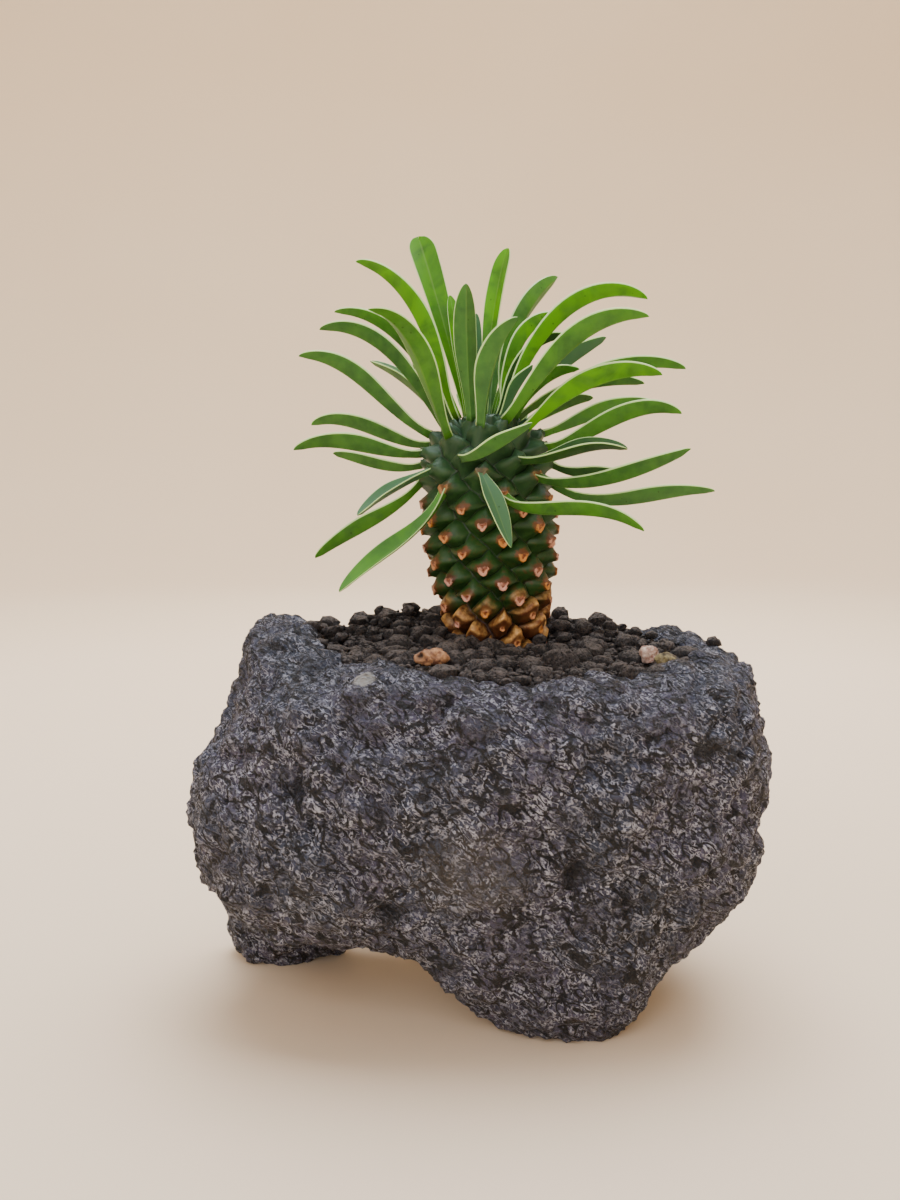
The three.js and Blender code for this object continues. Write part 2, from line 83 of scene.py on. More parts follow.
# Backdrop paper: uncoated, so it scatters light evenly, with faint clouds 600 mm across.
paper, paper_out = new_material("backdrop_paper_matt")
paper_place = add_node(paper, "ShaderNodeTexCoord")
paper_cloud = add_node(paper, "ShaderNodeTexNoise", {"Vector": paper_place.outputs["Object"],
                                                     "Scale": 1.6, "Detail": 2.0})
paper_tone = add_node(paper, "ShaderNodeMix", {0: paper_cloud.outputs["Fac"],
                                               6: linear("#e6cfae"), 7: linear("#eedbbe")},
                      data_type="RGBA")
paper_skin = add_node(paper, "ShaderNodeBsdfPrincipled",
                      {"Base Color": paper_tone.outputs[2], "Roughness": 0.85})
paper.node_tree.links.new(paper_skin.outputs[0], paper_out.inputs[0])

# Radius of the flat part, how many strips turn up through a right angle, how long each is,
# and how long the two upright ones on top are.
FLAT_RADIUS, CURVED_STRIPS, STRIP_LENGTH, UPRIGHT_LENGTH = 1.5, 12, 0.13, 0.8
bpy.ops.object.select_all(action="DESELECT")
bpy.ops.mesh.primitive_circle_add(vertices=128, radius=FLAT_RADIUS, fill_type="NGON")
sweep = bpy.context.object
sweep.name = "backdrop_sweep"
bpy.ops.object.mode_set(mode="EDIT")
bpy.ops.mesh.select_all(action="SELECT")
bpy.ops.mesh.select_mode(type="EDGE")
bpy.ops.mesh.region_to_loop()
reach = FLAT_RADIUS
for strip in range(CURVED_STRIPS + 2):
    turn = math.radians(min(90, 90 / CURVED_STRIPS * (strip + 0.5)))
    climb = STRIP_LENGTH * math.sin(turn) if strip < CURVED_STRIPS else UPRIGHT_LENGTH
    bpy.ops.mesh.extrude_region_move(TRANSFORM_OT_translate={"value": (0, 0, climb)})
    grow = 1 + STRIP_LENGTH * math.cos(turn) / reach
    bpy.ops.transform.resize(value=(grow, grow, 1))
    reach *= grow
bpy.ops.object.mode_set(mode="OBJECT")
bpy.ops.object.shade_smooth()
sweep.data.materials.append(paper)


def soft_light(name, place, aim, size, watts, colour):
    """One square softbox that faces a point."""
    lamp = bpy.data.lights.new(name, "AREA")
    lamp.size, lamp.energy, lamp.color = size, watts, linear(colour)[:3]
    box = bpy.data.objects.new(name, lamp)
    box.location = place
    box.rotation_euler = (Vector(aim) - Vector(place)).to_track_quat("-Z", "Y").to_euler()
    bpy.context.scene.collection.objects.link(box)


soft_light("overhead_softbox", (0.10, 0.30, 1.45), (0, 0, 0.1), 1.3, 39, "#eff2ff")
soft_light("front_softbox", (-0.35, -1.25, 0.75), (0, 0, 0.1), 1.1, 14, "#f6f5ff")
soft_light("backdrop_softbox", (0, 0.75, 1.35), (0, 1.9, 0.45), 1.0, 22, "#fff8ee")

room = bpy.data.worlds.new("pale_room")
room.use_nodes = True
room.node_tree.nodes["Background"].inputs["Color"].default_value = linear("#eef0f6")
room.node_tree.nodes["Background"].inputs["Strength"].default_value = 0.8
bpy.context.scene.world = room

lens = bpy.data.cameras.new("camera")
lens.lens = 39.5
lens.clip_start = 0.01
camera = bpy.data.objects.new("camera", lens)
camera.location = (-0.0096, -0.4910, 0.203)
camera.rotation_euler = (math.radians(83.3), 0, 0)
bpy.context.scene.collection.objects.link(camera)
bpy.context.scene.camera = camera

# ---------------------------------------------------------------- the lava rock
# A block of grey vesicular basalt, as it was found, that stands on three knobs. Its faces
# are broken and weathered; the bowl in its top was chiselled out for planting.


def solid_copy(name, node):
    """A new piece that starts from a copy of a solid, its loose triangles joined."""
    piece = bpy.data.objects.new(name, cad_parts[node].data.copy())
    bpy.context.scene.collection.objects.link(piece)
    only(piece)
    bpy.ops.object.mode_set(mode="EDIT")
    bpy.ops.mesh.select_all(action="SELECT")
    bpy.ops.mesh.remove_doubles(threshold=1e-6)
    bpy.ops.object.mode_set(mode="OBJECT")
    piece.data.materials.clear()
    return piece


def work(piece, kind, **settings):
    """Gives a piece one modifier and applies it."""
    modifier = piece.modifiers.new(kind, kind)
    for name, value in settings.items():
        setattr(modifier, name, value)
    only(piece)
    bpy.ops.object.modifier_apply(modifier=modifier.name)


def relief(size, octaves, basis="BLENDER_ORIGINAL", noise_type="SOFT_NOISE"):
    """A pattern for roughening a surface, its lumps `size` metres apart."""
    pattern = bpy.data.textures.new("relief", "CLOUDS")
    pattern.noise_scale, pattern.noise_depth = size, octaves
    pattern.noise_basis, pattern.noise_type = basis, noise_type
    return pattern


def fade(low, high, value):
    """Runs smoothly from 0 at `low` to 1 at `high`."""
    share = min(1, max(0, (value - low) / (high - low)))
    return share * share * (3 - 2 * share)


rock = solid_copy("lava_rock_planter", "rock_planter")
work(rock, "REMESH", mode="VOXEL", voxel_size=0.0014)
work(rock, "SMOOTH", factor=0.5, iterations=10)
# Its broken skin, coarse lumps first: their size, octaves and kind, how far they stand out in
# all, and the share of that which lies below the old surface.
for size, octaves, kind, relief_depth, below in [(0.0240, 1, "SOFT_NOISE", 0.0060, 0.5),
                                                 (0.0130, 2, "HARD_NOISE", 0.0062, 0.3),
                                                 (0.0040, 2, "HARD_NOISE", 0.0018, 0.3)]:
    work(rock, "DISPLACE", texture=relief(size, octaves, noise_type=kind),
         strength=relief_depth, mid_level=below)

# Where its front is broken out, in millimetres. Hollows: across, up, radius and depth.
# Cracks: both ends, across and up, half width and depth.
ROCK_HOLLOWS = [(-30, 51, 8, 4.2), (-60, 91, 6, 3.0), (-11, 120, 4.5, 3.0), (-33, 84, 5, 2.4),
                (32, 66, 8, 4.5), (49, 55, 7, 3.6), (75, 105, 5.5, 3.2), (89, 102, 4, 2.8),
                (21, 120, 3.5, 2.4)]
ROCK_CRACKS = [((6, 85), (33, 69), 1.6, 2.4), ((-59, 101), (-56, 78), 2.0, 2.6),
               ((86, 116), (90, 90), 1.4, 2.0)]
# Rim, lower on the left and higher at the back right: across, deep, radius and height. Only
# the rock between two heights and above them moves.
ROCK_RIM = [(-62, 2, 13, -6.5), (84, 22, 10, 1.6)]
RIM_FOOT, RIM_TOP = 0.09, 0.12
# Hollows and cracks go in towards the middle of the rock. Their edges wander: how far, and in
# how many lumps a metre, which makes them 7 mm.
ROCK_MIDDLE = Vector((0, 0.02))
RAGGED_BY, RAGGED_LUMPS = 0.006, 140
HOLLOW_STEEPNESS = 1.6
rock_tree = BVHTree.FromObject(rock, bpy.context.evaluated_depsgraph_get())
# Noise in three directions starts from the clock unless it is given a seed.
noise.seed_set(5)


def on_front(across, up):
    """The point of the rock's front seen at a place across and up, given in millimetres."""
    return rock_tree.ray_cast(Vector((across, -300, up)) / 1000, Vector((0, 1, 0)))[0]


hollows = [(on_front(across, up), radius / 1000, depth / 1000)
           for across, up, radius, depth in ROCK_HOLLOWS]
cracks = [(on_front(*start), on_front(*end), half / 1000, depth / 1000)
          for start, end, half, depth in ROCK_CRACKS]
sunk = [0] * len(rock.data.vertices)
for number, corner in enumerate(rock.data.vertices):
    place = corner.co.copy()
    inward = (ROCK_MIDDLE - place.xy).to_3d().normalized()
    ragged = place + noise.noise_vector(place * RAGGED_LUMPS) * RAGGED_BY
    for middle, radius, depth in hollows:
        share = math.exp(-HOLLOW_STEEPNESS * ((ragged - middle).length / radius) ** 2)
        corner.co += inward * depth * share
        sunk[number] = max(sunk[number], share)
    for start, end, half, depth in cracks:
        along = end - start
        share = min(1, max(0, (ragged - start).dot(along) / along.length_squared))
        away = (ragged - start - along * share).length / half
        share = math.exp(-away * away)
        corner.co += inward * depth * share
        sunk[number] = max(sunk[number], share)
    for across, deep, radius, height in ROCK_RIM:
        away = math.hypot(place.x * 1000 - across, place.y * 1000 - deep) / radius
        corner.co.z += height / 1000 * math.exp(-away * away) * fade(RIM_FOOT, RIM_TOP, place.z)
    corner.co.z = max(corner.co.z, 0)
# How far each point lies in a hollow or crack; the basalt paints shade there.
rock.data.attributes.new("sunk", "FLOAT", "POINT").data.foreach_set("value", sunk)
only(rock)
bpy.ops.object.shade_smooth()

# Basalt lava: nearly black with a purple cast in clouds of 30 mm, dull, split by hair cracks,
# with pores of 2 to 4 mm, painted shade in its hollows, a pale inclusion and a paler stain, and
# painted shade that darkens the rim. It is crowded with pale feldspar slivers of a few tenths of
# a millimetre that lie slantwise, as the lava flowed; the light they catch is painted into their
# colour as highlights. They are drawn 0.5 to 0.8 mm wide and its flakes 1.7 mm, as their real
# size is too fine to show.
basalt, basalt_out = new_material("basalt_lava_broken")
at = add_node(basalt, "ShaderNodeTexCoord").outputs["Object"]
cast = add_node(basalt, "ShaderNodeTexNoise", {"Vector": at, "Scale": 34, "Detail": 3.0})
cast = add_node(basalt, "ShaderNodeMapRange", {0: cast.outputs["Fac"], 1: 0.38, 2: 0.62})
ground = add_node(basalt, "ShaderNodeMix", {0: cast.outputs[0], 6: linear("#3c4559"),
                                            7: linear("#565369")}, data_type="RGBA").outputs[2]
# Dark pores in the paler ground.
mottle = add_node(basalt, "ShaderNodeTexNoise", {"Vector": at, "Scale": 270, "Detail": 8.0,
                                                 "Roughness": 0.75, "Distortion": 1.6})
mottle = mottle.outputs["Fac"]
share = add_node(basalt, "ShaderNodeMapRange", {0: mottle, 1: 0.42, 2: 0.58}).outputs[0]
colour = add_node(basalt, "ShaderNodeMix", {0: share, 6: linear("#0b0b0f"), 7: ground},
                  data_type="RGBA").outputs[2]
# Slivers, which crowd in places 9 mm across and slant with the flow: pale feldspar, painted lighter
# still as highlights.
crowd = add_node(basalt, "ShaderNodeTexNoise", {"Vector": at, "Scale": 110, "Detail": 4.0})
crowd = add_node(basalt, "ShaderNodeMapRange", {0: crowd.outputs["Fac"], 1: 0.38, 2: 0.62,
                                                3: 0.2, 4: 1.0}).outputs[0]
flow = add_node(basalt, "ShaderNodeMapping", {
    "Vector": at, "Rotation": (0, math.radians(38), 0), "Scale": (1.35, 0.85, 0.65)},
                vector_type="TEXTURE").outputs[0]
sliver = add_node(basalt, "ShaderNodeTexNoise", {"Vector": flow, "Scale": 420, "Detail": 2.0,
                                                 "Offset": 1.0, "Distortion": 0.8},
                  noise_type="RIDGED_MULTIFRACTAL").outputs["Fac"]
pale = add_node(basalt, "ShaderNodeMapRange", {0: sliver, 1: 1.05, 2: 1.42, 4: 0.9}).outputs[0]
pale = add_node(basalt, "ShaderNodeMath", {0: pale, 1: crowd}, operation="MULTIPLY").outputs[0]
colour = add_node(basalt, "ShaderNodeMix", {0: pale, 6: colour, 7: linear("#c2c4d0")},
                  data_type="RGBA").outputs[2]
# Single crystals of 0.8 mm, each with its own gloss; their glint is a painted highlight.
grains = add_node(basalt, "ShaderNodeTexVoronoi", {"Vector": at, "Scale": 1250})
grain = add_node(basalt, "ShaderNodeSeparateColor", {0: grains.outputs["Color"]})
painted_glint = add_node(basalt, "ShaderNodeMapRange", {0: grain.outputs[0], 1: 0.80, 2: 1.0}).outputs[0]
painted_glint = add_node(basalt, "ShaderNodeMath", {0: painted_glint, 1: crowd}, operation="MULTIPLY").outputs[0]
colour = add_node(basalt, "ShaderNodeMix", {0: painted_glint, 6: colour, 7: linear("#c6c8d4")},
                  data_type="RGBA").outputs[2]
# Hair cracks, 8 mm apart and drawn about 0.5 mm wide.
crack = add_node(basalt, "ShaderNodeTexNoise", {"Vector": flow, "Scale": 130, "Detail": 3.0,
                                                "Offset": 1.0, "Distortion": 0.9},
                 noise_type="RIDGED_MULTIFRACTAL").outputs["Fac"]
crack = add_node(basalt, "ShaderNodeMapRange", {0: crack, 1: 1.08, 2: 1.36}).outputs[0]
colour = add_node(basalt, "ShaderNodeMix", {0: crack, 6: colour, 7: linear("#09090c")},
                  data_type="RGBA").outputs[2]
# Painted shade that darkens the rim, from 100 mm up.
rim_shade = add_node(basalt, "ShaderNodeSeparateXYZ", {0: at}).outputs[2]
rim_shade = add_node(basalt, "ShaderNodeMapRange", {0: rim_shade, 1: 0.100, 2: 0.128, 4: 0.34}).outputs[0]
colour = add_node(basalt, "ShaderNodeMix", {0: rim_shade, 6: colour, 7: linear("#0b0b10")},
                  data_type="RGBA").outputs[2]
# The inclusion and the stain: middle, radius where it is full and where it ends, strength and
# colour. The mottle frays their edges.
for place, near, far, share, tint in [
    (on_front(-38, 128), 0.0064, 0.0074, 0.8, "#a09f97"),
    (on_front(-3, 66), 0.0140, 0.0290, 0.14, "#a0978a"),
]:
    away = add_node(basalt, "ShaderNodeVectorMath", {0: at, 1: place},
                    operation="DISTANCE").outputs["Value"]
    away = add_node(basalt, "ShaderNodeMath", {0: mottle, 1: near, 2: away},
                    operation="MULTIPLY_ADD").outputs[0]
    stain = add_node(basalt, "ShaderNodeMapRange", {0: away, 1: far, 2: near, 4: share}).outputs[0]
    colour = add_node(basalt, "ShaderNodeMix", {0: stain, 6: colour, 7: linear(tint)},
                      data_type="RGBA").outputs[2]
# Painted shade in the hollows and cracks.
sunk = add_node(basalt, "ShaderNodeAttribute", attribute_name="sunk").outputs["Fac"]
sunk = add_node(basalt, "ShaderNodeMath", {0: mottle, 1: -0.8, 2: sunk},
                operation="MULTIPLY_ADD").outputs[0]
sunk = add_node(basalt, "ShaderNodeMapRange", {0: sunk, 1: -0.15, 2: 0.35, 4: 0.85}).outputs[0]
colour = add_node(basalt, "ShaderNodeMix", {0: sunk, 6: colour, 7: linear("#0a0a0d")},
                  data_type="RGBA").outputs[2]
# Its skin is rough with slivers, pores and cracks, and each flake faces its own way.
gloss = add_node(basalt, "ShaderNodeMapRange", {0: grain.outputs[1], 3: 0.5, 4: 0.95}).outputs[0]
rise = add_node(basalt, "ShaderNodeMath", {0: sliver, 1: 0.30, 2: mottle},
                operation="MULTIPLY_ADD").outputs[0]
rise = add_node(basalt, "ShaderNodeMath", {0: crack, 1: -0.35, 2: rise},
                operation="MULTIPLY_ADD").outputs[0]
flakes = add_node(basalt, "ShaderNodeTexVoronoi", {"Vector": at, "Scale": 600})
tilt = add_node(basalt, "ShaderNodeVectorMath", {0: flakes.outputs["Color"], 1: (0.5, 0.5, 0.5)},
                operation="SUBTRACT").outputs[0]
tilt = add_node(basalt, "ShaderNodeVectorMath", {
    0: tilt, 1: (0.9, 0.9, 0.9),
    2: add_node(basalt, "ShaderNodeNewGeometry").outputs["Normal"]}, operation="MULTIPLY_ADD")
tilt = add_node(basalt, "ShaderNodeVectorMath", {0: tilt.outputs[0]}, operation="NORMALIZE")
rock_bump = add_node(basalt, "ShaderNodeBump", {"Strength": 1.0, "Distance": 0.0022,
                                                "Height": rise, "Normal": tilt.outputs[0]})
basalt_skin = add_node(basalt, "ShaderNodeBsdfPrincipled",
                       {"Base Color": colour, "Roughness": gloss,
                        "Normal": rock_bump.outputs[0], "IOR": 1.55})
basalt.node_tree.links.new(basalt_skin.outputs[0], basalt_out.inputs[0])
rock.data.materials.append(basalt)
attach(rock, "root")
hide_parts("rock_planter")

# ---------------------------------------------------------------- the lava grit
# Crushed scoria poured in round the trunk: clods of 3 to 14 mm with a rough skin and finer
# crumbs, heaped a little towards the trunk and the back. A bed closes the bowl, the clods lie
# loose on it, and a few have rolled onto the rim.
BOWL_MIDDLE, BOWL_HALF = Vector((0.0087, -0.0130)), (0.070, 0.049)
# The bed's upper side is above this height. It lies lower than the grit by the room that the
# clods need, and rises from the rim by at most this much a bowl radius.
HEAP_FOOT, CLOD_ROOM, HEAP_SLOPE = 0.118, 0.0012, 0.040
# Places where it is heaped higher: x, y, half width, height.
HEAPS = [(0.044, 0.018, 0.016, 0.0055), (0.024, 0.030, 0.014, 0.0040),
         (-0.030, 0.014, 0.018, 0.0050)]

grit_bed = solid_copy("lava_grit_bed", "grit")
bpy.ops.object.mode_set(mode="EDIT")
bpy.ops.mesh.select_all(action="DESELECT")
bpy.ops.object.mode_set(mode="OBJECT")
for face in grit_bed.data.polygons:
    face.select = face.normal.z > 0.4 and face.center.z > HEAP_FOOT
bpy.ops.object.mode_set(mode="EDIT")
bpy.ops.mesh.select_mode(type="FACE")
bpy.ops.mesh.subdivide(number_cuts=3)
bpy.ops.transform.translate(value=(0, 0, -CLOD_ROOM))
bpy.ops.object.mode_set(mode="OBJECT")
rim_tree = BVHTree.FromObject(rock, bpy.context.evaluated_depsgraph_get())
HIGH_UP, DOWN = Vector((0, 0, 0.2)), Vector((0, 0, -1))
# Where the rim stands, in bowl radii, and the share by which the bed's edge reaches outwards.
RIM_AT, TO_WALL = 1.08, 0.03
for corner in grit_bed.data.vertices:
    if corner.co.z > HEAP_FOOT:
        for x, y, half, height in HEAPS:
            away = math.hypot(corner.co.x - x, corner.co.y - y) / half
            corner.co.z += height * math.exp(-away * away)
        # It slopes down to the rim where the rim is low, and closes on the wall of the bowl.
        out = corner.co.xy - BOWL_MIDDLE
        share = math.hypot(out.x / BOWL_HALF[0], out.y / BOWL_HALF[1])
        if share > 0.6:
            above_rim = (BOWL_MIDDLE + out / share * RIM_AT).to_3d() + HIGH_UP
            rim = rim_tree.ray_cast(above_rim, DOWN)[0]
            corner.co.z = min(corner.co.z, rim.z - CLOD_ROOM + HEAP_SLOPE * (1 - share))
            corner.co.xy += out * TO_WALL * fade(0.85, 1, share)
work(grit_bed, "DISPLACE", texture=relief(0.0045, 1, "VORONOI_F2_F1"),
     strength=0.0020, mid_level=0.5)

# Scoria: brown-grey, quite dull, each clod its own tone, with a crust in grains of 1.5 mm,
# pitted every 1.3 mm, with painted light that makes the faces that look up paler.
scoria, scoria_out = new_material("scoria_grit_dusty")
at = add_node(scoria, "ShaderNodeTexCoord").outputs["Object"]
own = add_node(scoria, "ShaderNodeAttribute", attribute_name="clod_tone")
clod_colour = add_node(scoria, "ShaderNodeMix", {0: own.outputs["Fac"], 6: linear("#241f1c"),
                                                 7: linear("#5d544e")}, data_type="RGBA")
crust = add_node(scoria, "ShaderNodeTexNoise", {"Vector": at, "Scale": 640, "Detail": 7.0,
                                                "Roughness": 0.74, "Distortion": 0.4})
crust_share = add_node(scoria, "ShaderNodeMapRange", {0: crust.outputs["Fac"], 1: 0.38,
                                                      2: 0.58})
crusted = add_node(scoria, "ShaderNodeMix", {0: crust_share.outputs[0], 6: linear("#100d0b"),
                                             7: clod_colour.outputs[2]}, data_type="RGBA")
# Painted light: paler where the faces look up, frayed by the crust.
facing_up = add_node(scoria, "ShaderNodeSeparateXYZ", {
    0: add_node(scoria, "ShaderNodeNewGeometry").outputs["Normal"]})
pits = add_node(scoria, "ShaderNodeTexVoronoi", {"Vector": at, "Scale": 750}).outputs["Distance"]
pit_share = add_node(scoria, "ShaderNodeMapRange", {0: pits, 1: 0.16, 2: 0.36, 3: 0.15})
top_light = add_node(scoria, "ShaderNodeMath", {0: facing_up.outputs[2], 1: 0.5,
                                           2: crust.outputs["Fac"]}, operation="MULTIPLY_ADD")
top_light_share = add_node(scoria, "ShaderNodeMapRange", {0: top_light.outputs[0], 1: 0.78, 2: 1.15,
                                                     4: 0.75})
top_lit = add_node(scoria, "ShaderNodeMix", {0: top_light_share.outputs[0], 6: crusted.outputs[2],
                                           7: linear("#8c8178")}, data_type="RGBA")
pitted = add_node(scoria, "ShaderNodeMix", {0: pit_share.outputs[0], 6: linear("#0e0b09"),
                                            7: top_lit.outputs[2]}, data_type="RGBA")
scoria_height = add_node(scoria, "ShaderNodeMath", {0: pits, 1: 0.5, 2: crust.outputs["Fac"]},
                         operation="MULTIPLY_ADD")
scoria_bump = add_node(scoria, "ShaderNodeBump", {"Strength": 1.0, "Distance": 0.0034,
                                                  "Height": scoria_height.outputs[0]})
scoria_skin = add_node(scoria, "ShaderNodeBsdfPrincipled",
                       {"Base Color": pitted.outputs[2], "Roughness": 0.92,
                        "Normal": scoria_bump.outputs[0], "IOR": 1.5})
scoria.node_tree.links.new(scoria_skin.outputs[0], scoria_out.inputs[0])


def paint(piece, name, value):
    """Gives every face of a piece the same value of one attribute."""
    layer = piece.data.attributes.new(name, "FLOAT", "FACE")
    layer.data.foreach_set("value", [value] * len(piece.data.polygons))


def copy_of(piece, name):
    """A copy of a piece with its own mesh."""
    twin = bpy.data.objects.new(name, piece.data.copy())
    bpy.context.scene.collection.objects.link(twin)
    return twin


def joined(pieces, name):
    """Joins several pieces into one."""
    only(pieces[0])
    for piece in pieces:
        piece.select_set(True)
    bpy.ops.object.join()
    pieces[0].name = name
    return pieces[0]


# Fourteen clods and five crumbs, each knocked into its own angular shape, stand for all.
clods = []
for kind in range(14):
    bpy.ops.object.select_all(action="DESELECT")
    bpy.ops.mesh.primitive_ico_sphere_add(subdivisions=1, radius=1)
    clod = bpy.context.object
    bpy.ops.object.mode_set(mode="EDIT")
    bpy.ops.mesh.select_all(action="SELECT")
    bpy.ops.transform.vertex_random(offset=0.36, seed=kind + 3)
    bpy.ops.mesh.subdivide(number_cuts=1, smoothness=0.35)
    bpy.ops.transform.vertex_random(offset=0.18, seed=kind + 40)
    bpy.ops.object.mode_set(mode="OBJECT")
    clods.append(clod)
crumbs = []
for kind in range(5):
    bpy.ops.object.select_all(action="DESELECT")
    bpy.ops.mesh.primitive_ico_sphere_add(subdivisions=1, radius=1)
    bpy.ops.object.mode_set(mode="EDIT")
    bpy.ops.transform.vertex_random(offset=0.5, seed=kind + 90)
    bpy.ops.object.mode_set(mode="OBJECT")
    crumbs.append(bpy.context.object)

bed_tree = BVHTree.FromObject(grit_bed, bpy.context.evaluated_depsgraph_get())
dice = random.Random(11)
# Where the trunk stands and how far its foot reaches.
TRUNK_AT, TRUNK_FOOT = Vector((0.0087, 0.0090)), 0.0165
# Half the size below which a crumb is laid, not a clod.
LARGEST_CRUMB = 0.0016


def ground_height(x, y, grounds):
    """Height of the upper one of some surfaces at a place, or None off them all."""
    found = [tree.ray_cast(Vector((x, y, HIGH_UP.z)), DOWN)[0] for tree in grounds]
    return max((place.z for place in found if place), default=None)


laid = []
heap = []


def lay_clod(x, y, half, lift, grounds=(bed_tree,)):
    """Lays one clod on the highest of some grounds, a little sunk in, and keeps its place."""
    height = ground_height(x, y, grounds)
    if height is None:
        return
    clod = copy_of(dice.choice(clods if half > LARGEST_CRUMB else crumbs), "clod")
    turn = Matrix.Rotation(dice.uniform(0, 6.28), 4, Vector([dice.gauss(0, 1) for _ in range(3)]))
    squash = Matrix.Diagonal((*[half * dice.uniform(0.8, 1.15) for _ in range(2)],
                              half * dice.uniform(0.6, 0.85), 1))
    place = Matrix.Translation((x, y, height + half * 0.25 + lift))
    clod.data.transform(place @ squash @ turn)
    paint(clod, "clod_tone", min(1, max(0, dice.gauss(0.5, 0.28))))
    heap.append(clod)
    laid.append((x, y, half))


def scatter(count, low, high, spacing, lift, wanted):
    """Tries random places of the bowl, and lays a clod where it is wanted and not crowded."""
    for _ in range(count):
        turn, share = dice.uniform(0, 2 * math.pi), math.sqrt(dice.random()) * 0.99
        x = BOWL_MIDDLE.x + BOWL_HALF[0] * share * math.cos(turn)
        y = BOWL_MIDDLE.y + BOWL_HALF[1] * share * math.sin(turn)
        half = dice.uniform(low, high)
        near_trunk = (Vector((x, y)) - TRUNK_AT).length < TRUNK_FOOT + half
        crowded = any(math.hypot(x - a, y - b) < spacing * (half + c) for a, b, c in laid)
        if not near_trunk and not crowded and wanted(x, y):
            lay_clod(x, y, half, lift)


# Where the loose stones lie, each with the room it needs.
STONES_AT = [(-0.016, -0.050, 0.0075), (0.062, -0.027, 0.0060), (0.069, -0.031, 0.0050)]


def beside_stones(x, y):
    """Whether a place is clear of the loose stones."""
    return all(math.hypot(x - a, y - b) >= room for a, b, room in STONES_AT)


# The largest clods in front, a layer of large and then of middling ones, a second layer that
# heaps up the back, and crumbs over all.
for x, y, half in [(-0.010, -0.023, 0.0060), (0.029, -0.036, 0.0070), (0.049, -0.040, 0.0052),
                   (0.021, -0.052, 0.0058), (-0.030, -0.030, 0.0055), (0.042, -0.016, 0.0064)]:
    lay_clod(x, y, half, 0.0004)
scatter(500, 0.0034, 0.0060, 0.80, 0.0, beside_stones)
scatter(6000, 0.0014, 0.0034, 0.70, 0.0004, beside_stones)
laid.clear()
scatter(900, 0.0022, 0.0046, 0.95, 0.0030, lambda x, y: y > -0.008)
laid.clear()
scatter(2600, 0.0007, 0.0013, 1.0, 0.0016, beside_stones)
# A few lie on the inner edge of the rim on the left, and a stray on the rim on the right.
for x, y, half in [(-0.061, -0.003, 0.0042), (-0.059, 0.008, 0.0042), (-0.060, -0.014, 0.0036),
                   (-0.057, 0.018, 0.0040), (-0.056, -0.024, 0.0034), (-0.064, 0.004, 0.0026),
                   (0.0905, 0.004, 0.0027)]:
    lay_clod(x, y, half, 0.0004, (bed_tree, rim_tree))
grit_clods = joined(heap, "lava_grit_clods")
for clod in clods + crumbs:
    bpy.data.objects.remove(clod)
only(grit_clods)
bpy.ops.object.shade_smooth_by_angle(angle=math.radians(58))
# The bed shows only in the gaps between the clods: its dark tone is painted shade.
paint(grit_bed, "clod_tone", 0.15)
for piece in (grit_bed, grit_clods):
    piece.data.materials.clear()
    piece.data.materials.append(scoria)
    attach(piece, "root")
    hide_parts("grit")

# ---------------------------------------------------------------- three loose stones
# Pebbles that lie loose on the grit: an orange-brown one with a gas hole, a buff one and an
# olive one. Each is a solid lump of porous stone, worn round and knocked about.
PEBBLE_GROWTH = 1.1
# The gas hole: its middle from the middle of the pebble, its radius, the way in and its depth.
GAS_HOLE, HOLE_RADIUS = Vector((-0.0045, -0.0035, 0.0012)), 0.0012
HOLE_WAY, HOLE_DEPTH = Vector((0.4, 0.9, 0)), 0.0015


def pebble_material(name, light, dark):
    """Porous stone: a chalky face mottled every 2 mm, with fine pores, and painted shade in a gas
    hole.
    """
    stone, stone_out = new_material(name)
    at = add_node(stone, "ShaderNodeTexCoord").outputs["Object"]
    mottle = add_node(stone, "ShaderNodeTexNoise", {"Vector": at, "Scale": 480, "Detail": 4.0,
                                                    "Roughness": 0.65})
    share = add_node(stone, "ShaderNodeMapRange", {0: mottle.outputs["Fac"], 1: 0.36, 2: 0.62})
    colour = add_node(stone, "ShaderNodeMix", {0: share.outputs[0], 6: linear(dark),
                                               7: linear(light)}, data_type="RGBA")
    # Painted shade inside the gas hole.
    gas_hole = add_node(stone, "ShaderNodeAttribute", attribute_name="sunk").outputs["Fac"]
    colour = add_node(stone, "ShaderNodeMix", {0: gas_hole, 6: colour.outputs[2],
                                               7: linear("#120a08")}, data_type="RGBA")
    bump = add_node(stone, "ShaderNodeBump", {"Strength": 0.6, "Distance": 0.0005,
                                              "Height": mottle.outputs["Fac"]})
    skin = add_node(stone, "ShaderNodeBsdfPrincipled",
                    {"Base Color": colour.outputs[2], "Roughness": 0.85,
                     "Normal": bump.outputs[0]})
    stone.node_tree.links.new(skin.outputs[0], stone_out.inputs[0])
    return stone


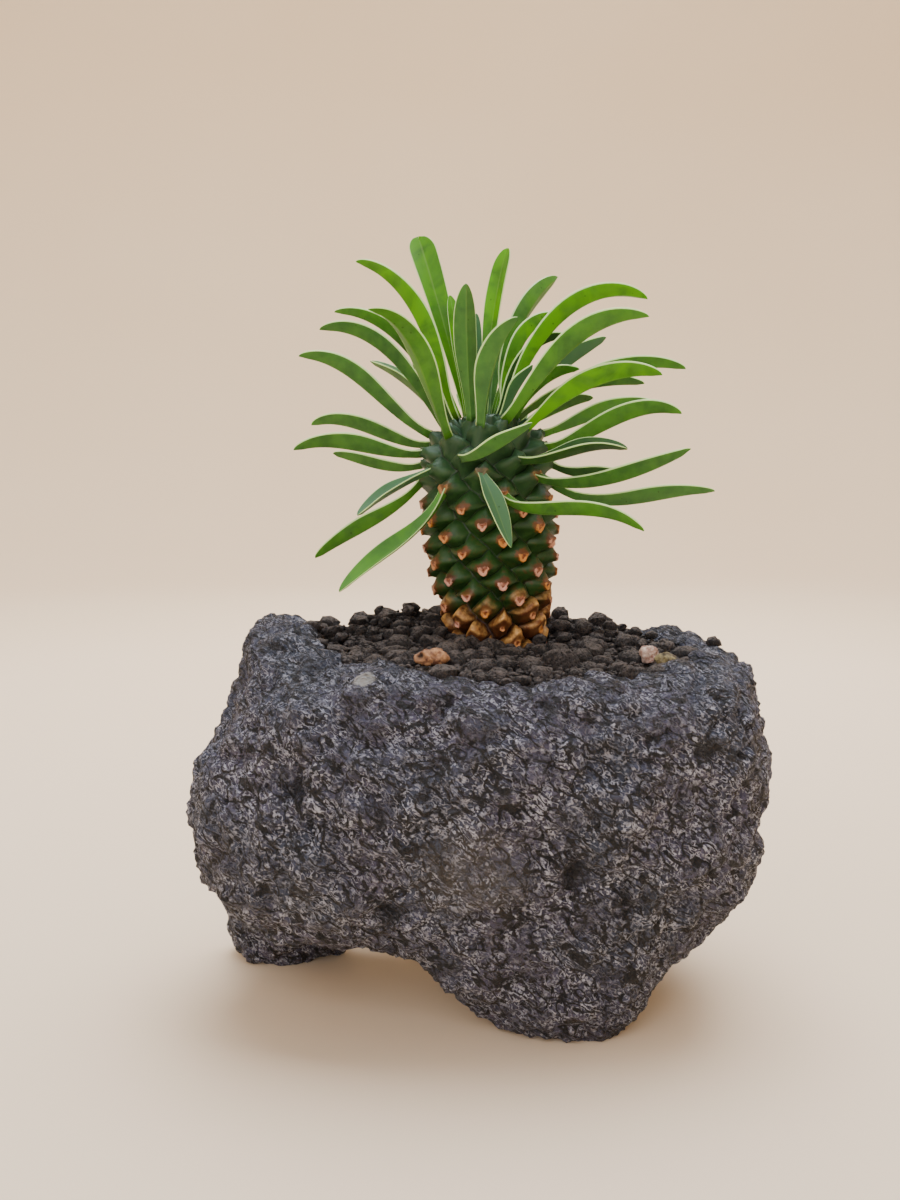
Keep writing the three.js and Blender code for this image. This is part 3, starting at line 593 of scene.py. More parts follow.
for name, node, slot, light, dark in [
    ("pebble_brick", "stone_brick", "brick_stone", "#ad8159", "#5f3b28"),
    ("pebble_buff", "stone_buff", "buff_stone", "#cdb9a8", "#8a6253"),
    ("pebble_olive", "stone_olive", "olive_stone", "#82764f", "#463c2b"),
]:
    pebble = solid_copy(name, node)
    middle = sum((corner.co for corner in pebble.data.vertices), Vector())
    middle /= len(pebble.data.vertices)
    pebble.data.transform(Matrix.Translation(middle) @ Matrix.Scale(PEBBLE_GROWTH, 4)
                          @ Matrix.Translation(-middle))
    work(pebble, "SUBSURF", levels=2, render_levels=2)
    work(pebble, "DISPLACE", texture=relief(0.0026, 2), strength=0.0022, mid_level=0.4)
    bpy.ops.object.shade_smooth()
    if node == "stone_brick":
        gas_hole = middle + GAS_HOLE
        sunk = [min(1, 2.2 * math.exp(-((corner.co - gas_hole).length / HOLE_RADIUS) ** 2))
                for corner in pebble.data.vertices]
        pebble.data.attributes.new("sunk", "FLOAT", "POINT").data.foreach_set("value", sunk)
        for corner, share in zip(pebble.data.vertices, sunk):
            corner.co += HOLE_WAY * HOLE_DEPTH * share
    pebble.data.materials.append(pebble_material(f"{slot}_porous", light, dark))
    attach(pebble, "root")
    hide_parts(node)

# ---------------------------------------------------------------- the trunk
# A fleshy green stem wrapped in one spiral of tubercles, like the scales of a pine cone. Old
# ones at the foot have dried to ochre cork; each carries the scar of a fallen leaf.
# Millimetres along the trunk's own axis until it is put in its place.
TRUNK_PLACE = (Matrix.Translation((0.0087, 0.0090, 0.130))
               @ Matrix.Rotation(math.radians(-4.3), 4, "Y") @ Matrix.Scale(0.001, 4))
# The spiral: turn and rise from one tubercle to the next, where the first is, and how many.
GOLDEN_TURN, RISE = math.radians(-137.03), 0.765
FIRST_TURN, FIRST_HEIGHT = math.radians(-139.5), -7.7
TUBERCLES = 168
# The stem between them: its radius, how much less that is at the foot and up to what height,
# and the dome on top of it.
GROOVE_RADIUS, FOOT_TAPER, TAPER_FROM, TAPER_TO = 21, 7.5, -8, 40
NECK_START, CROWN_RADIUS, CROWN_START, CROWN_HEIGHT = 48, 20, 68, 14
CROWN_INDEX = (CROWN_START - FIRST_HEIGHT) / RISE
# How far a tubercle stands out, how far its grooves lie below its scar, and how deep they cut
# as a share of the stem's radius.
TUBERCLE_HEIGHT, TUBERCLE_DROP, GROOVE_DEPTH = 4.6, 1.2, 0.965
# Tubercles up to the first of these have dried to cork, those from the second on are young.
CORK_INDEX, YOUNG_INDEX = 30, 84
CROWN_STEP = 0.25


def turn_at(index):
    """Turn round the trunk at a place on the spiral."""
    return FIRST_TURN + GOLDEN_TURN * index


def trunk_outline(index):
    """Radius, height, tilt of the surface and size of a tubercle at a place on the spiral."""
    if index <= CROWN_INDEX:
        height = FIRST_HEIGHT + RISE * index
        foot = FOOT_TAPER * (1 - fade(TAPER_FROM, TAPER_TO, height))
        neck = (GROOVE_RADIUS - CROWN_RADIUS) * fade(NECK_START, CROWN_START, height)
        return GROOVE_RADIUS - foot - neck, height, 0, 1
    angle, walked = 0, CROWN_INDEX
    while walked < index:
        step = min(CROWN_STEP, index - walked)
        speed = math.hypot(CROWN_RADIUS * math.sin(angle), CROWN_HEIGHT * math.cos(angle))
        angle += step * RISE * math.cos(angle) / speed
        walked += CROWN_STEP
    tilt = math.atan2(CROWN_RADIUS * math.sin(angle), CROWN_HEIGHT * math.cos(angle))
    return (CROWN_RADIUS * math.cos(angle), CROWN_START + CROWN_HEIGHT * math.sin(angle), tilt,
            math.cos(angle))


def outward(turn, tilt):
    """The way out from the trunk at a turn round it and a tilt upwards."""
    return Vector((math.cos(turn) * math.cos(tilt), math.sin(turn) * math.cos(tilt),
                   math.sin(tilt)))


# Tubercles stand in slanting rows of every eighth, and the rows are shifted like bricks, so
# each is a wide diamond. Its corners, as turn and steps up from its middle: right, high
# right, top, left, low left and bottom.
ROW = (8 * GOLDEN_TURN + 6 * math.pi, 8)
COLUMN = (13 * GOLDEN_TURN + 10 * math.pi, 13)
ROW_SHIFT = 0.62
TOP = Vector([(column + row * (1 - ROW_SHIFT)) / 2 for row, column in zip(ROW, COLUMN)])
RIGHT, LEFT = TOP - Vector(ROW), Vector(ROW) - TOP
HIGH_RIGHT, LOW_LEFT = Vector(COLUMN) - TOP, TOP - Vector(COLUMN)
DIAMOND = [RIGHT, RIGHT.lerp(HIGH_RIGHT, 0.5), HIGH_RIGHT, TOP, TOP.lerp(LEFT, 1 / 3),
           TOP.lerp(LEFT, 2 / 3), LEFT, LEFT.lerp(LOW_LEFT, 0.5), LOW_LEFT, -TOP,
           (-TOP).lerp(RIGHT, 1 / 3), (-TOP).lerp(RIGHT, 2 / 3)]


def groove_point(index, spoke):
    """Point on the grooves round a tubercle, on one of its twelve spokes."""
    turn, steps = DIAMOND[spoke]
    radius, height, _, _ = trunk_outline(index + steps + TUBERCLE_DROP / RISE)
    turn += turn_at(index)
    radius *= GROOVE_DEPTH
    at = Vector((math.cos(turn) * radius, math.sin(turn) * radius, height))
    # The grooves wander, as no two tubercles grow alike: by 1.5 mm, and by 0.6 mm more often.
    return at + noise.noise_vector(at * 0.3) * 1.5 + noise.noise_vector(at * 0.9) * 0.6


def leaf_scar(index):
    """Middle, facing, sideways and upward directions of a scar, its size and its turn."""
    turn = turn_at(index)
    radius, height, tilt, crown = trunk_outline(index)
    young = fade(YOUNG_INDEX - 8, YOUNG_INDEX + 6, index)
    size = 0.35 + 0.65 * crown
    middle = Vector((math.cos(turn) * radius, math.sin(turn) * radius, height))
    middle += outward(turn, tilt) * TUBERCLE_HEIGHT * size
    # An old scar looks a little down. A young one sits higher and looks up.
    middle += outward(turn, tilt + math.pi / 2) * 3.5 * young * crown
    facing = outward(turn, tilt + math.radians(-8 + 36 * young * crown))
    side = Vector((-math.sin(turn), math.cos(turn), 0))
    return middle, facing, side, facing.cross(side), size, turn


# One tubercle: a round blank of twelve sides, inset ring by ring. A ring's number is kept in
# the height of its corners until the copies are bent to their diamonds.
bpy.ops.object.select_all(action="DESELECT")
bpy.ops.mesh.primitive_circle_add(vertices=12, radius=1, fill_type="NGON")
tubercle = bpy.context.object
bpy.ops.object.mode_set(mode="EDIT")
bpy.ops.mesh.select_mode(type="FACE")
bpy.ops.mesh.select_all(action="SELECT")
for _ in range(8):
    bpy.ops.mesh.inset(thickness=0.11)
    bpy.ops.transform.translate(value=(0, 0, 1))
bpy.ops.mesh.poke()
bpy.ops.object.mode_set(mode="OBJECT")

# Each ring: how far it has gone from the groove to the scar, how much it swells out of the
# straight line between them, and how far it stands off the scar's face, in millimetres.
RINGS = [(0, 0, 0), (0.05, 0.55, 0), (0.18, 1.25, 0), (0.42, 1.45, 0), (0.70, 0.90, 0),
         (0.92, 0.25, 0.25), (1, 0, 0.80), (1, 0, 0.80), (1, 0, 0.60)]
# Each spoke: how strongly it swells, as a keel runs from side to side above a hollow chin,
# and where it meets the scar, across and up, in millimetres.
SPOKES = [(1.3, 1.75, 0.1), (1.2, 2.05, 0.8), (1.0, 1.7, 1.4), (0.8, 0.6, 1.15),
          (0.9, -0.8, 1.25), (1.2, -1.8, 1.3), (1.3, -1.85, 0.2), (0.8, -1.45, -0.7),
          (0.1, -0.95, -1.5), (-0.5, -0.1, -2.0), (-0.3, 0.85, -1.55), (0.6, 1.45, -0.8)]


def bend_tubercle(cell, index):
    """Bends a copy of the blank to its own diamond and scar."""
    middle, facing, side, up, size, turn = leaf_scar(index)
    normal = outward(turn, trunk_outline(index)[2])
    own = noise.noise((index * 3.7, 1.3, 0.7))
    other = noise.noise((index * 2.9, 5.1, 3.3))
    old = 1 - fade(CORK_INDEX - 8, CORK_INDEX + 4, index)
    young = fade(YOUNG_INDEX, YOUNG_INDEX + 10, index)
    for corner in cell.data.vertices:
        way, swell, stand = RINGS[round(corner.co.z)]
        centre = corner.co.xy.length < 0.02
        spoke = 0 if centre else round(math.degrees(math.atan2(corner.co.y, corner.co.x)) / 30) % 12
        keel, across, along = SPOKES[spoke]
        # The scar of an old one is round, and it swells most above the scar.
        if old:
            round_scar = outward(spoke * math.pi / 6, 0) * 1.3
            across += (round_scar.x - across) * old
            along += (round_scar.y - 0.5 - along) * old
            keel += (1.1 + 0.5 * round_scar.y - keel) * old
        # The last two rings are the scar's hollow face, drawn in towards its lower half.
        shrink = 1 - max(0, round(corner.co.z) - 6) * 0.24
        across, along = across * shrink, (along + 0.7) * shrink - 0.7
        if centre:
            across, along, stand = 0, -0.8, 0.1
        jag = noise.noise((index * 1.7, spoke * 2.3, round(corner.co.z) * 1.1))
        rim = middle + (side * across + up * along) * size * (0.93 + 0.5 * own + 0.3 * jag)
        rim += facing * (stand + 0.25 * jag * (1 - old)) * size
        at = groove_point(index, spoke).lerp(rim, way)
        swell *= size * keel * (1 + 0.5 * other) * (1 + 0.7 * old + 0.5 * young)
        corner.co = at + normal * swell


def paint_cell(cell, index):
    """Keeps what a tubercle's colours need: ring, side of the scar, height and its own tone."""
    corners = cell.data.vertices
    rings = [(round(corner.co.z) + (corner.co.xy.length < 0.02)) / 9 for corner in corners]
    chins = [-corner.co.xy.normalized().y for corner in corners]
    for name, values in (("ring", rings), ("chin", chins)):
        cell.data.attributes.new(name, "FLOAT", "POINT").data.foreach_set("value", values)
    paint(cell, "height", (FIRST_HEIGHT + RISE * index) / 80)
    paint(cell, "own", 0.5 + 0.5 * noise.noise((index * 5.1, 8.3, 2.7)))


cells = []
for index in range(TUBERCLES):
    cell = copy_of(tubercle, "tubercle")
    paint_cell(cell, index)
    bend_tubercle(cell, index)
    cells.append(cell)
bpy.data.objects.remove(tubercle)
trunk = joined(cells, "euphorbia_trunk")
bpy.ops.object.mode_set(mode="EDIT")
bpy.ops.mesh.select_mode(type="VERT")
bpy.ops.mesh.select_all(action="SELECT")
bpy.ops.mesh.remove_doubles(threshold=0.01)
bpy.ops.mesh.select_all(action="DESELECT")
bpy.ops.mesh.select_non_manifold()
bpy.ops.mesh.edge_face_add()
bpy.ops.object.mode_set(mode="OBJECT")
trunk.data.transform(TRUNK_PLACE)
bpy.ops.object.shade_smooth()

# Succulent stem skin: dark green under a thin wax; ochre cork on the oldest scales, with painted
# shade in dark brown on their undersides and round their edges; painted shade in the grooves
# between all scales; dry scars with a brown cap, a pinkish rim and a dark middle. Blotches are
# about 3 mm across, the crumbling of the scars about 1 mm.
stem, stem_out = new_material("succulent_stem_skin")
at = add_node(stem, "ShaderNodeTexCoord").outputs["Object"]
ring = add_node(stem, "ShaderNodeAttribute", attribute_name="ring").outputs["Fac"]
height = add_node(stem, "ShaderNodeAttribute", attribute_name="height").outputs["Fac"]
own = add_node(stem, "ShaderNodeAttribute", attribute_name="own").outputs["Fac"]
chin = add_node(stem, "ShaderNodeAttribute", attribute_name="chin").outputs["Fac"]
blotch = add_node(stem, "ShaderNodeTexNoise", {"Vector": at, "Scale": 330, "Detail": 4.0,
                                               "Roughness": 0.6}).outputs["Fac"]
crumble = add_node(stem, "ShaderNodeTexNoise", {"Vector": at, "Scale": 900, "Detail": 3.0,
                                                "Roughness": 0.6}).outputs["Fac"]
frayed = add_node(stem, "ShaderNodeMath", {0: crumble, 1: 0.30, 2: ring},
                  operation="MULTIPLY_ADD").outputs[0]
green = add_node(stem, "ShaderNodeMix", {0: blotch, 6: linear("#0f2010"), 7: linear("#2f5a1f")},
                 data_type="RGBA").outputs[2]
waxed = add_node(stem, "ShaderNodeMapRange", {0: height, 1: 0.60, 2: 0.95, 4: 0.5}).outputs[0]
green = add_node(stem, "ShaderNodeMix", {0: waxed, 6: green, 7: linear("#2f4d38")},
                 data_type="RGBA").outputs[2]
rusty = add_node(stem, "ShaderNodeMath", {0: height, 1: -0.35, 2: blotch},
                 operation="MULTIPLY_ADD").outputs[0]
rusty = add_node(stem, "ShaderNodeMapRange", {0: rusty, 1: 0.42, 2: 0.56, 4: 0.7}).outputs[0]
green = add_node(stem, "ShaderNodeMix", {0: rusty, 6: green, 7: linear("#4f3418")},
                 data_type="RGBA").outputs[2]
fibre = add_node(stem, "ShaderNodeMapRange", {0: blotch, 1: 0.36, 2: 0.64}).outputs[0]
cork = add_node(stem, "ShaderNodeMix", {0: fibre, 6: linear("#7a4514"), 7: linear("#e2b064")},
                data_type="RGBA").outputs[2]
# Painted shade: the cork's faces that look down are made dark brown.
facing = add_node(stem, "ShaderNodeSeparateXYZ", {
    0: add_node(stem, "ShaderNodeNewGeometry").outputs["Normal"]}).outputs[2]
under = add_node(stem, "ShaderNodeMapRange", {0: facing, 1: 0.15, 2: -0.35, 4: 0.92}).outputs[0]
cork = add_node(stem, "ShaderNodeMix", {0: under, 6: cork, 7: linear("#45200f")},
                data_type="RGBA").outputs[2]
uneven = add_node(stem, "ShaderNodeMath", {0: own, 1: 0.08}, operation="MULTIPLY").outputs[0]
edge_height = add_node(stem, "ShaderNodeMath", {0: height, 1: uneven},
                       operation="ADD").outputs[0]
ring_lift = add_node(stem, "ShaderNodeMath", {0: ring, 1: -0.20, 2: edge_height},
                     operation="MULTIPLY_ADD").outputs[0]
corky = add_node(stem, "ShaderNodeMapRange", {0: ring_lift, 1: 0.170, 2: 0.100}).outputs[0]
skin = add_node(stem, "ShaderNodeMix", {0: corky, 6: green, 7: cork},
                data_type="RGBA").outputs[2]
dry = add_node(stem, "ShaderNodeMapRange", {0: height, 1: 0.78, 2: 0.62}).outputs[0]
not_cork = add_node(stem, "ShaderNodeMapRange", {0: corky, 1: 0.0, 2: 1.0, 3: 1.0,
                                                 4: 0.35}).outputs[0]
cap = add_node(stem, "ShaderNodeMath", {0: chin, 1: -0.08, 2: frayed},
               operation="MULTIPLY_ADD").outputs[0]
cap = add_node(stem, "ShaderNodeMapRange", {0: cap, 1: 0.60, 2: 0.70, 4: 0.95}).outputs[0]
cap = add_node(stem, "ShaderNodeMath", {0: cap, 1: dry}, operation="MULTIPLY").outputs[0]
cap = add_node(stem, "ShaderNodeMath", {0: cap, 1: not_cork}, operation="MULTIPLY").outputs[0]
cap_tone = add_node(stem, "ShaderNodeMix", {0: own, 6: linear("#351b10"), 7: linear("#7d4a20")},
                    data_type="RGBA").outputs[2]
skin = add_node(stem, "ShaderNodeMix", {0: cap, 6: skin, 7: cap_tone},
                data_type="RGBA").outputs[2]
scar = add_node(stem, "ShaderNodeMapRange", {0: frayed, 1: 0.74, 2: 0.82}).outputs[0]
scar = add_node(stem, "ShaderNodeMath", {0: scar, 1: dry}, operation="MULTIPLY").outputs[0]
low = add_node(stem, "ShaderNodeMath", {0: crumble, 1: 2.0, 2: chin},
               operation="MULTIPLY_ADD").outputs[0]
low = add_node(stem, "ShaderNodeMapRange", {0: low, 1: -0.1, 2: 0.7}).outputs[0]
hue = add_node(stem, "ShaderNodeMapRange", {0: own, 1: 0.35, 2: 0.65}).outputs[0]
scar_tone = add_node(stem, "ShaderNodeMix", {0: hue, 6: linear("#cf9a86"),
                                             7: linear("#c8873f")}, data_type="RGBA").outputs[2]
scar_tone = add_node(stem, "ShaderNodeMix", {0: low, 6: linear("#70381c"), 7: scar_tone},
                     data_type="RGBA").outputs[2]
skin = add_node(stem, "ShaderNodeMix", {0: scar, 6: skin, 7: scar_tone},
                data_type="RGBA").outputs[2]
heart = add_node(stem, "ShaderNodeMapRange", {0: ring, 1: 0.96, 2: 1.0, 4: 0.7}).outputs[0]
skin = add_node(stem, "ShaderNodeMix", {0: heart, 6: skin, 7: linear("#47200f")},
                data_type="RGBA").outputs[2]
# Painted shade round the edges of the cork scales.
cork_edge_shade = add_node(stem, "ShaderNodeMapRange", {0: frayed, 1: 0.50, 2: 0.22}).outputs[0]
cork_edge_shade = add_node(stem, "ShaderNodeMath", {0: cork_edge_shade, 1: corky}, operation="MULTIPLY").outputs[0]
skin = add_node(stem, "ShaderNodeMix", {0: cork_edge_shade, 6: skin, 7: linear("#35190a")},
                data_type="RGBA").outputs[2]
# Painted shade in the grooves between the scales, green on the stem and brown on the cork.
groove_shade_tone = add_node(stem, "ShaderNodeMix", {0: corky, 6: linear("#13210d"), 7: linear("#2a1408")},
                    data_type="RGBA").outputs[2]
groove_shade = add_node(stem, "ShaderNodeMapRange", {0: ring, 1: 0.0, 2: 0.10}).outputs[0]
skin = add_node(stem, "ShaderNodeMix", {0: groove_shade, 6: groove_shade_tone, 7: skin},
                data_type="RGBA").outputs[2]
stem_bump = add_node(stem, "ShaderNodeBump", {"Strength": 0.45, "Distance": 0.0006,
                                              "Height": frayed})
stem_skin = add_node(stem, "ShaderNodeBsdfPrincipled",
                     {"Base Color": skin, "Roughness": 0.50, "Normal": stem_bump.outputs[0],
                      "IOR": 1.42})
stem.node_tree.links.new(stem_skin.outputs[0], stem_out.inputs[0])
trunk.data.materials.clear()
trunk.data.materials.append(stem)
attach(trunk, "root")
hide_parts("trunk")

# ---------------------------------------------------------------- the leaves
# Forty-seven thick strap leaves, each grown from its own tubercle. A blade is folded along
# its midrib, about 10 mm wide and 1.5 mm thick, with a thin pale margin.

# For each leaf: the tubercle it grows from, how far round from it the blade points at foot and
# tip, its slope at foot, middle and tip, length, width, how far its halves are folded up and
# how it is rolled, whether its tip is blunt, and its colour: see LEAF_COLOURS.
LEAVES = [
    (81, (25, 65), (-28, -3, -45), 60, 10, 40, -20, 0, "half_sunlit"),
    (83, (0, 0), (-38, 3, -8), 66, 10.5, 40, -22, 0, "dull"),
    (84, (-20, -35), (-57, -30, -40), 55, 9.5, 38, -28, 0, "pale"),
    (85, (0, 0), (-20, 5, 0), 55, 10, 40, 0, 0, "green"),
    (86, (0, 30), (-18, 10, 26), 62, 10, 40, -20, 0, "green"),
    (87, (0, -10), (-48, -26, -32), 51, 10, 40, 25, 0, "half_sunlit"),
    (89, (20, 50), (-35, -60, -65), 33, 8.2, 20, 0, -0.5, "bloomed"),
    (90, (-20, -25), (-25, 0, -5), 46, 10, 40, 0, 0, "green"),
    (91, (0, 0), (-38, -5, 0), 31, 8, 40, -15, 0, "deep"),
    (92, (5, 5), (-18, -22, -30), 37, 6.8, 40, -12, 0, "bloomed"),
    (93, (0, 0), (-20, 5, 0), 52, 10, 40, 0, 0, "green"),
    (94, (25, 50), (-10, 10, -25), 41, 10, 40, 15, 0, "deep"),
    (95, (0, 0), (-15, 17, 15), 38, 8, 40, 22, 0, "green"),
    (97, (50, 90), (-5, 20, 30), 37, 9, 40, 0, 0, "dull"),
    (98, (-12, -15), (-10, 15, 0), 50, 10, 40, 0, 0, "green"),
    (99, (0, 8), (0, 19, -28), 53, 11.5, 40, -28, 0, "half_sunlit"),
    (100, (0, 0), (-3, 13, -20), 49, 11, 40, 25, 0, "green"),
    (101, (20, 20), (0, 20, 5), 50, 9, 40, 0, 0, "green"),
    (103, (10, 15), (0, 22, -18), 54, 10.5, 40, 28, 0, "green"),
    (104, (0, 0), (8, 14, -5), 46, 10, 40, -28, 0, "pale"),
    (105, (5, -5), (60, 56, -5), 62, 11.5, 22, 0, 0, "half_sunlit"),
    (106, (0, 0), (15, 25, 5), 50, 10, 40, 0, 0, "green"),
    (107, (10, 25), (29, 17, -17), 56, 13, 35, -30, 0, "sunlit"),
    (108, (0, 0), (30, 43, 0), 58, 11, 40, 28, 0, "green"),
    (109, (-15, -25), (12, 17, 5), 36, 9, 40, -25, 0, "green"),
    (110, (28, 52), (68, 57, 33), 44, 12.5, 40, 0, 0, "dull"),
    (111, (15, 15), (48, 38, 22), 48, 8, 40, 0, 0, "green"),
    (112, (0, 10), (33, 14, -20), 64, 10, 40, -30, 0, "half_sunlit"),
    (114, (0, 0), (45, 50, 30), 48, 10, 40, 0, 0, "green"),
    (115, (25, 40), (38, 34, -14), 67, 12.5, 40, -30, 0, "half_sunlit"),
    (116, (0, 0), (57, 44, -8), 65, 11, 40, 28, 0, "green"),
    (117, (-8, -10), (28, 8, -8), 58, 9, 40, -28, 0, "green"),
    (118, (18, 30), (78, 72, 62), 50, 11, 40, 0, 0, "dull"),
    (119, (14, 2), (76, 70, 62), 79, 11, 22, -18, 1.02, "sunlit_shaded"),
    (120, (0, 0), (48, 30, -5), 32, 8, 40, -25, 0, "half_sunlit"),
    (121, (-10, -20), (66, 60, 50), 26, 7, 40, 0, 0, "deep"),
    (122, (-12, -16), (68, 50, 20), 74, 11, 25, -78, 0, "half_sunlit"),
    (124, (8, 8), (60, 46, 0), 70, 9, 40, 25, 0, "half_sunlit"),
    (125, (0, 10), (42, 31, 29), 50, 11, 40, -35, 0, "bloomed"),
    (127, (-14, -24), (70, 72, 68), 43, 7.5, 40, 0, 0, "bloomed"),
    (128, (20, 20), (60, 52, 45), 22, 7, 40, 0, 0, "bloomed"),
    (129, (-15, -20), (70, 66, 14), 74, 11.5, 40, 30, 0, "sunlit"),
    (130, (-10, -12), (66, 51, -8), 54, 9.5, 40, -55, 0, "sunlit"),
    (132, (-28, -30), (78, 75, 60), 50, 8, 40, 0, 0, "sunlit"),
    (133, (5, 20), (62, 36, -30), 79, 11.5, 40, -35, 0, "sunlit"),
    (135, (-26, -38), (76, 72, 62), 68, 9.4, 20, 0, 0.9, "sunlit"),
    (138, (-18, -18), (62, 45, -25), 46, 7, 40, -25, 0, "deep"),
]

# Share of painted yellow-green glow, which stands for light shining through the leaf, of
# grey-blue wax bloom, and of painted shade in a leaf's green. The names say how a leaf is
# painted lit: 'sunlit' glows most, 'deep' is mostly painted shade.
LEAF_COLOURS = {"sunlit": (1.0, 0.0, 0.0), "sunlit_shaded": (1.0, 0.0, 0.22), "half_sunlit": (0.45, 0.1, 0.0),
                "green": (0.15, 0.15, 0.1), "dull": (0.25, 0.3, 0.0), "pale": (0.85, 0.3, 0.0),
                "bloomed": (0.0, 0.9, 0.2), "deep": (0.0, 0.2, 0.6)}
# The midrib's straight spans: how many, and by what share the first is longer and the last
# shorter than the mean.
SPANS, BUNCHING = 11, 0.3


def leaf_setting(settings, t):
    """Value at a share of the length, through the settings at foot, middle and tip."""
    foot, middle, tip = settings
    bend = 2 * (foot - 2 * middle + tip)
    return foot + (tip - foot - bend) * t + bend * t * t


def reached(share):
    """Share of a leaf's length that is reached at a share of its spans."""
    return share * (1 + BUNCHING - BUNCHING * share)


def blade_width(t, blunt):
    """Half width as a share of the widest: narrow foot, widest past the middle, round tip."""
    body = 0.36 + 0.64 * fade(0.02, 0.58 + 0.3 * blunt, t)
    # How far into the rounding of the tip, from 0 where it begins to 1 at the very end.
    past = max(0, (t - 0.56 - 0.34 * blunt) / (0.44 - 0.34 * blunt))
    return body * max(0.001, 1 - past * past) ** (0.62 - 0.12 * blunt)


# One blade: a flat strip, extruded for its thickness. x is the share across, y the share
# along, z is 0 on the upper face and -1 on the under face. Its lines lie closer at the edges,
# at the midrib and at the tip.
ACROSS = [-1, -0.90, -0.62, -0.30, -0.10, 0, 0.10, 0.30, 0.62, 0.90, 1]
bpy.ops.object.select_all(action="DESELECT")
bpy.ops.mesh.primitive_grid_add(x_subdivisions=10, y_subdivisions=30, size=2)
blade = bpy.context.object
bpy.ops.object.mode_set(mode="EDIT")
bpy.ops.mesh.select_all(action="SELECT")
bpy.ops.mesh.extrude_region_move(TRANSFORM_OT_translate={"value": (0, 0, -1)})
bpy.ops.mesh.select_all(action="SELECT")
bpy.ops.mesh.normals_make_consistent(inside=False)
bpy.ops.object.mode_set(mode="OBJECT")
bpy.ops.object.shade_smooth()
for corner in blade.data.vertices:
    share = (corner.co.y + 1) / 2
    corner.co.x = ACROSS[round((corner.co.x + 1) * 5)]
    corner.co.y = 0.4 * reached(share) + 0.6 * math.sin(share * math.pi / 2)
flat = blade.data.uv_layers.new(name="blade")
for loop in blade.data.loops:
    corner = blade.data.vertices[loop.vertex_index].co
    flat.data[loop.index].uv = ((corner.x + 1) / 2, corner.y)


def heading(leaf, t):
    """Turn round the trunk and rise of a leaf at a share of its length."""
    spot, turns, rises = leaf[:3]
    turn = turn_at(spot) + math.radians(turns[0] + (turns[1] - turns[0]) * t)
    return turn, math.radians(leaf_setting(rises, t))


def leaf_line(leaf):
    """Points along a leaf's midrib from its scar on, in millimetres on the trunk."""
    points = [leaf_scar(leaf[0])[0]]
    for span in range(SPANS):
        t = reached(span / SPANS)
        step = reached(span / SPANS + 1 / SPANS) - t
        points.append(points[-1] + outward(*heading(leaf, t)) * step * leaf[3])
    return points


def on_line(points, t):
    """Smooth point on the midrib at a share of its length."""
    root = math.sqrt(max(0, (1 + BUNCHING) ** 2 - 4 * BUNCHING * t))
    place = min((1 + BUNCHING - root) / (2 * BUNCHING), 0.99999) * SPANS
    span = int(place)
    u = place - span
    a = points[span - 1] if span else points[0] * 2 - points[1]
    b, c = points[span], points[span + 1]
    d = points[span + 2] if span + 2 < len(points) else c * 2 - b
    return (b * 2 + (c - a) * u + (a * 2 - b * 5 + c * 4 - d) * u * u
            + (b * 3 - a - c * 3 + d) * u * u * u) / 2


def bend_leaf(piece, leaf):
    """Bends a copy of the flat blade along its own midrib."""
    spot, (wide, fold, roll, blunt) = leaf[0], leaf[4:8]
    points = leaf_line(leaf)
    wave = noise.noise((spot * 2.3, 4.1, 0.2)) * 6
    for corner in piece.data.vertices:
        side, t, under = corner.co.x, corner.co.y, -corner.co.z
        turn, rise = heading(leaf, t)
        ahead = outward(turn, rise)
        # It rolls within its first third, and is folded less at the foot and the tip.
        face = outward(turn, rise + math.pi / 2)
        face.rotate(Matrix.Rotation(math.radians(roll * fade(0, 0.3, t)), 3, ahead))
        across = ahead.cross(face)
        lift = math.radians(fold * (0.7 + 0.3 * fade(0, 0.3, t) - 0.35 * fade(0.6, 1, t)))
        reach = wide / 2 * blade_width(t, blunt)
        channel = abs(side) ** 1.25
        at = on_line(points, t)
        at += across * side * reach * math.cos(lift)
        # Each half curves up from the midrib, with a slightly wavy edge.
        at += face * reach * (channel * math.sin(lift) + 0.05 * side * math.sin(9 * t + wave))
        # Thickness in millimetres: 0.4 at the edges, most at the foot, with a rib underneath.
        keel = 1.5 - 0.6 * t + 0.6 * (1 - fade(0, 0.12, t))
        body = 0.4 + (keel - 0.4) * (1 - abs(side) ** 1.6) + 0.25 * math.exp(-(side / 0.12) ** 2)
        at -= face * under * body * (0.35 + 0.65 * min(1, (1 - t) / 0.06))
        # The bluntest tip is notched by 1.5 mm.
        if blunt > 1:
            at -= ahead * 1.5 * math.exp(-((side / 0.35) ** 2)) * fade(0.94, 1, t)
        corner.co = at


# Leaf skin: a waxy cuticle over juicy green flesh that lets some light through, in patches of
# 5 mm, with a painted glow of light through it in lighter patches of 12 mm and painted shade
# on the leaves kept in shade; a cream margin that covers the edge and 0.2 mm of each face;
# small dark flecks 5 mm apart; faint veins that run along the blade.
cuticle, cuticle_out = new_material("leaf_waxy_cuticle")
at = add_node(cuticle, "ShaderNodeTexCoord").outputs["Object"]
strip = add_node(cuticle, "ShaderNodeUVMap", uv_map="blade").outputs["UV"]
strip = add_node(cuticle, "ShaderNodeSeparateXYZ", {0: strip})
painted_glow = add_node(cuticle, "ShaderNodeAttribute", attribute_name="painted_glow").outputs["Fac"]
bloom = add_node(cuticle, "ShaderNodeAttribute", attribute_name="bloom").outputs["Fac"]
shade = add_node(cuticle, "ShaderNodeAttribute", attribute_name="shade").outputs["Fac"]
patch = add_node(cuticle, "ShaderNodeTexNoise", {"Vector": at, "Scale": 190, "Detail": 4.0})
patch = add_node(cuticle, "ShaderNodeMapRange", {0: patch.outputs["Fac"], 1: 0.35,
                                                 2: 0.65}).outputs[0]
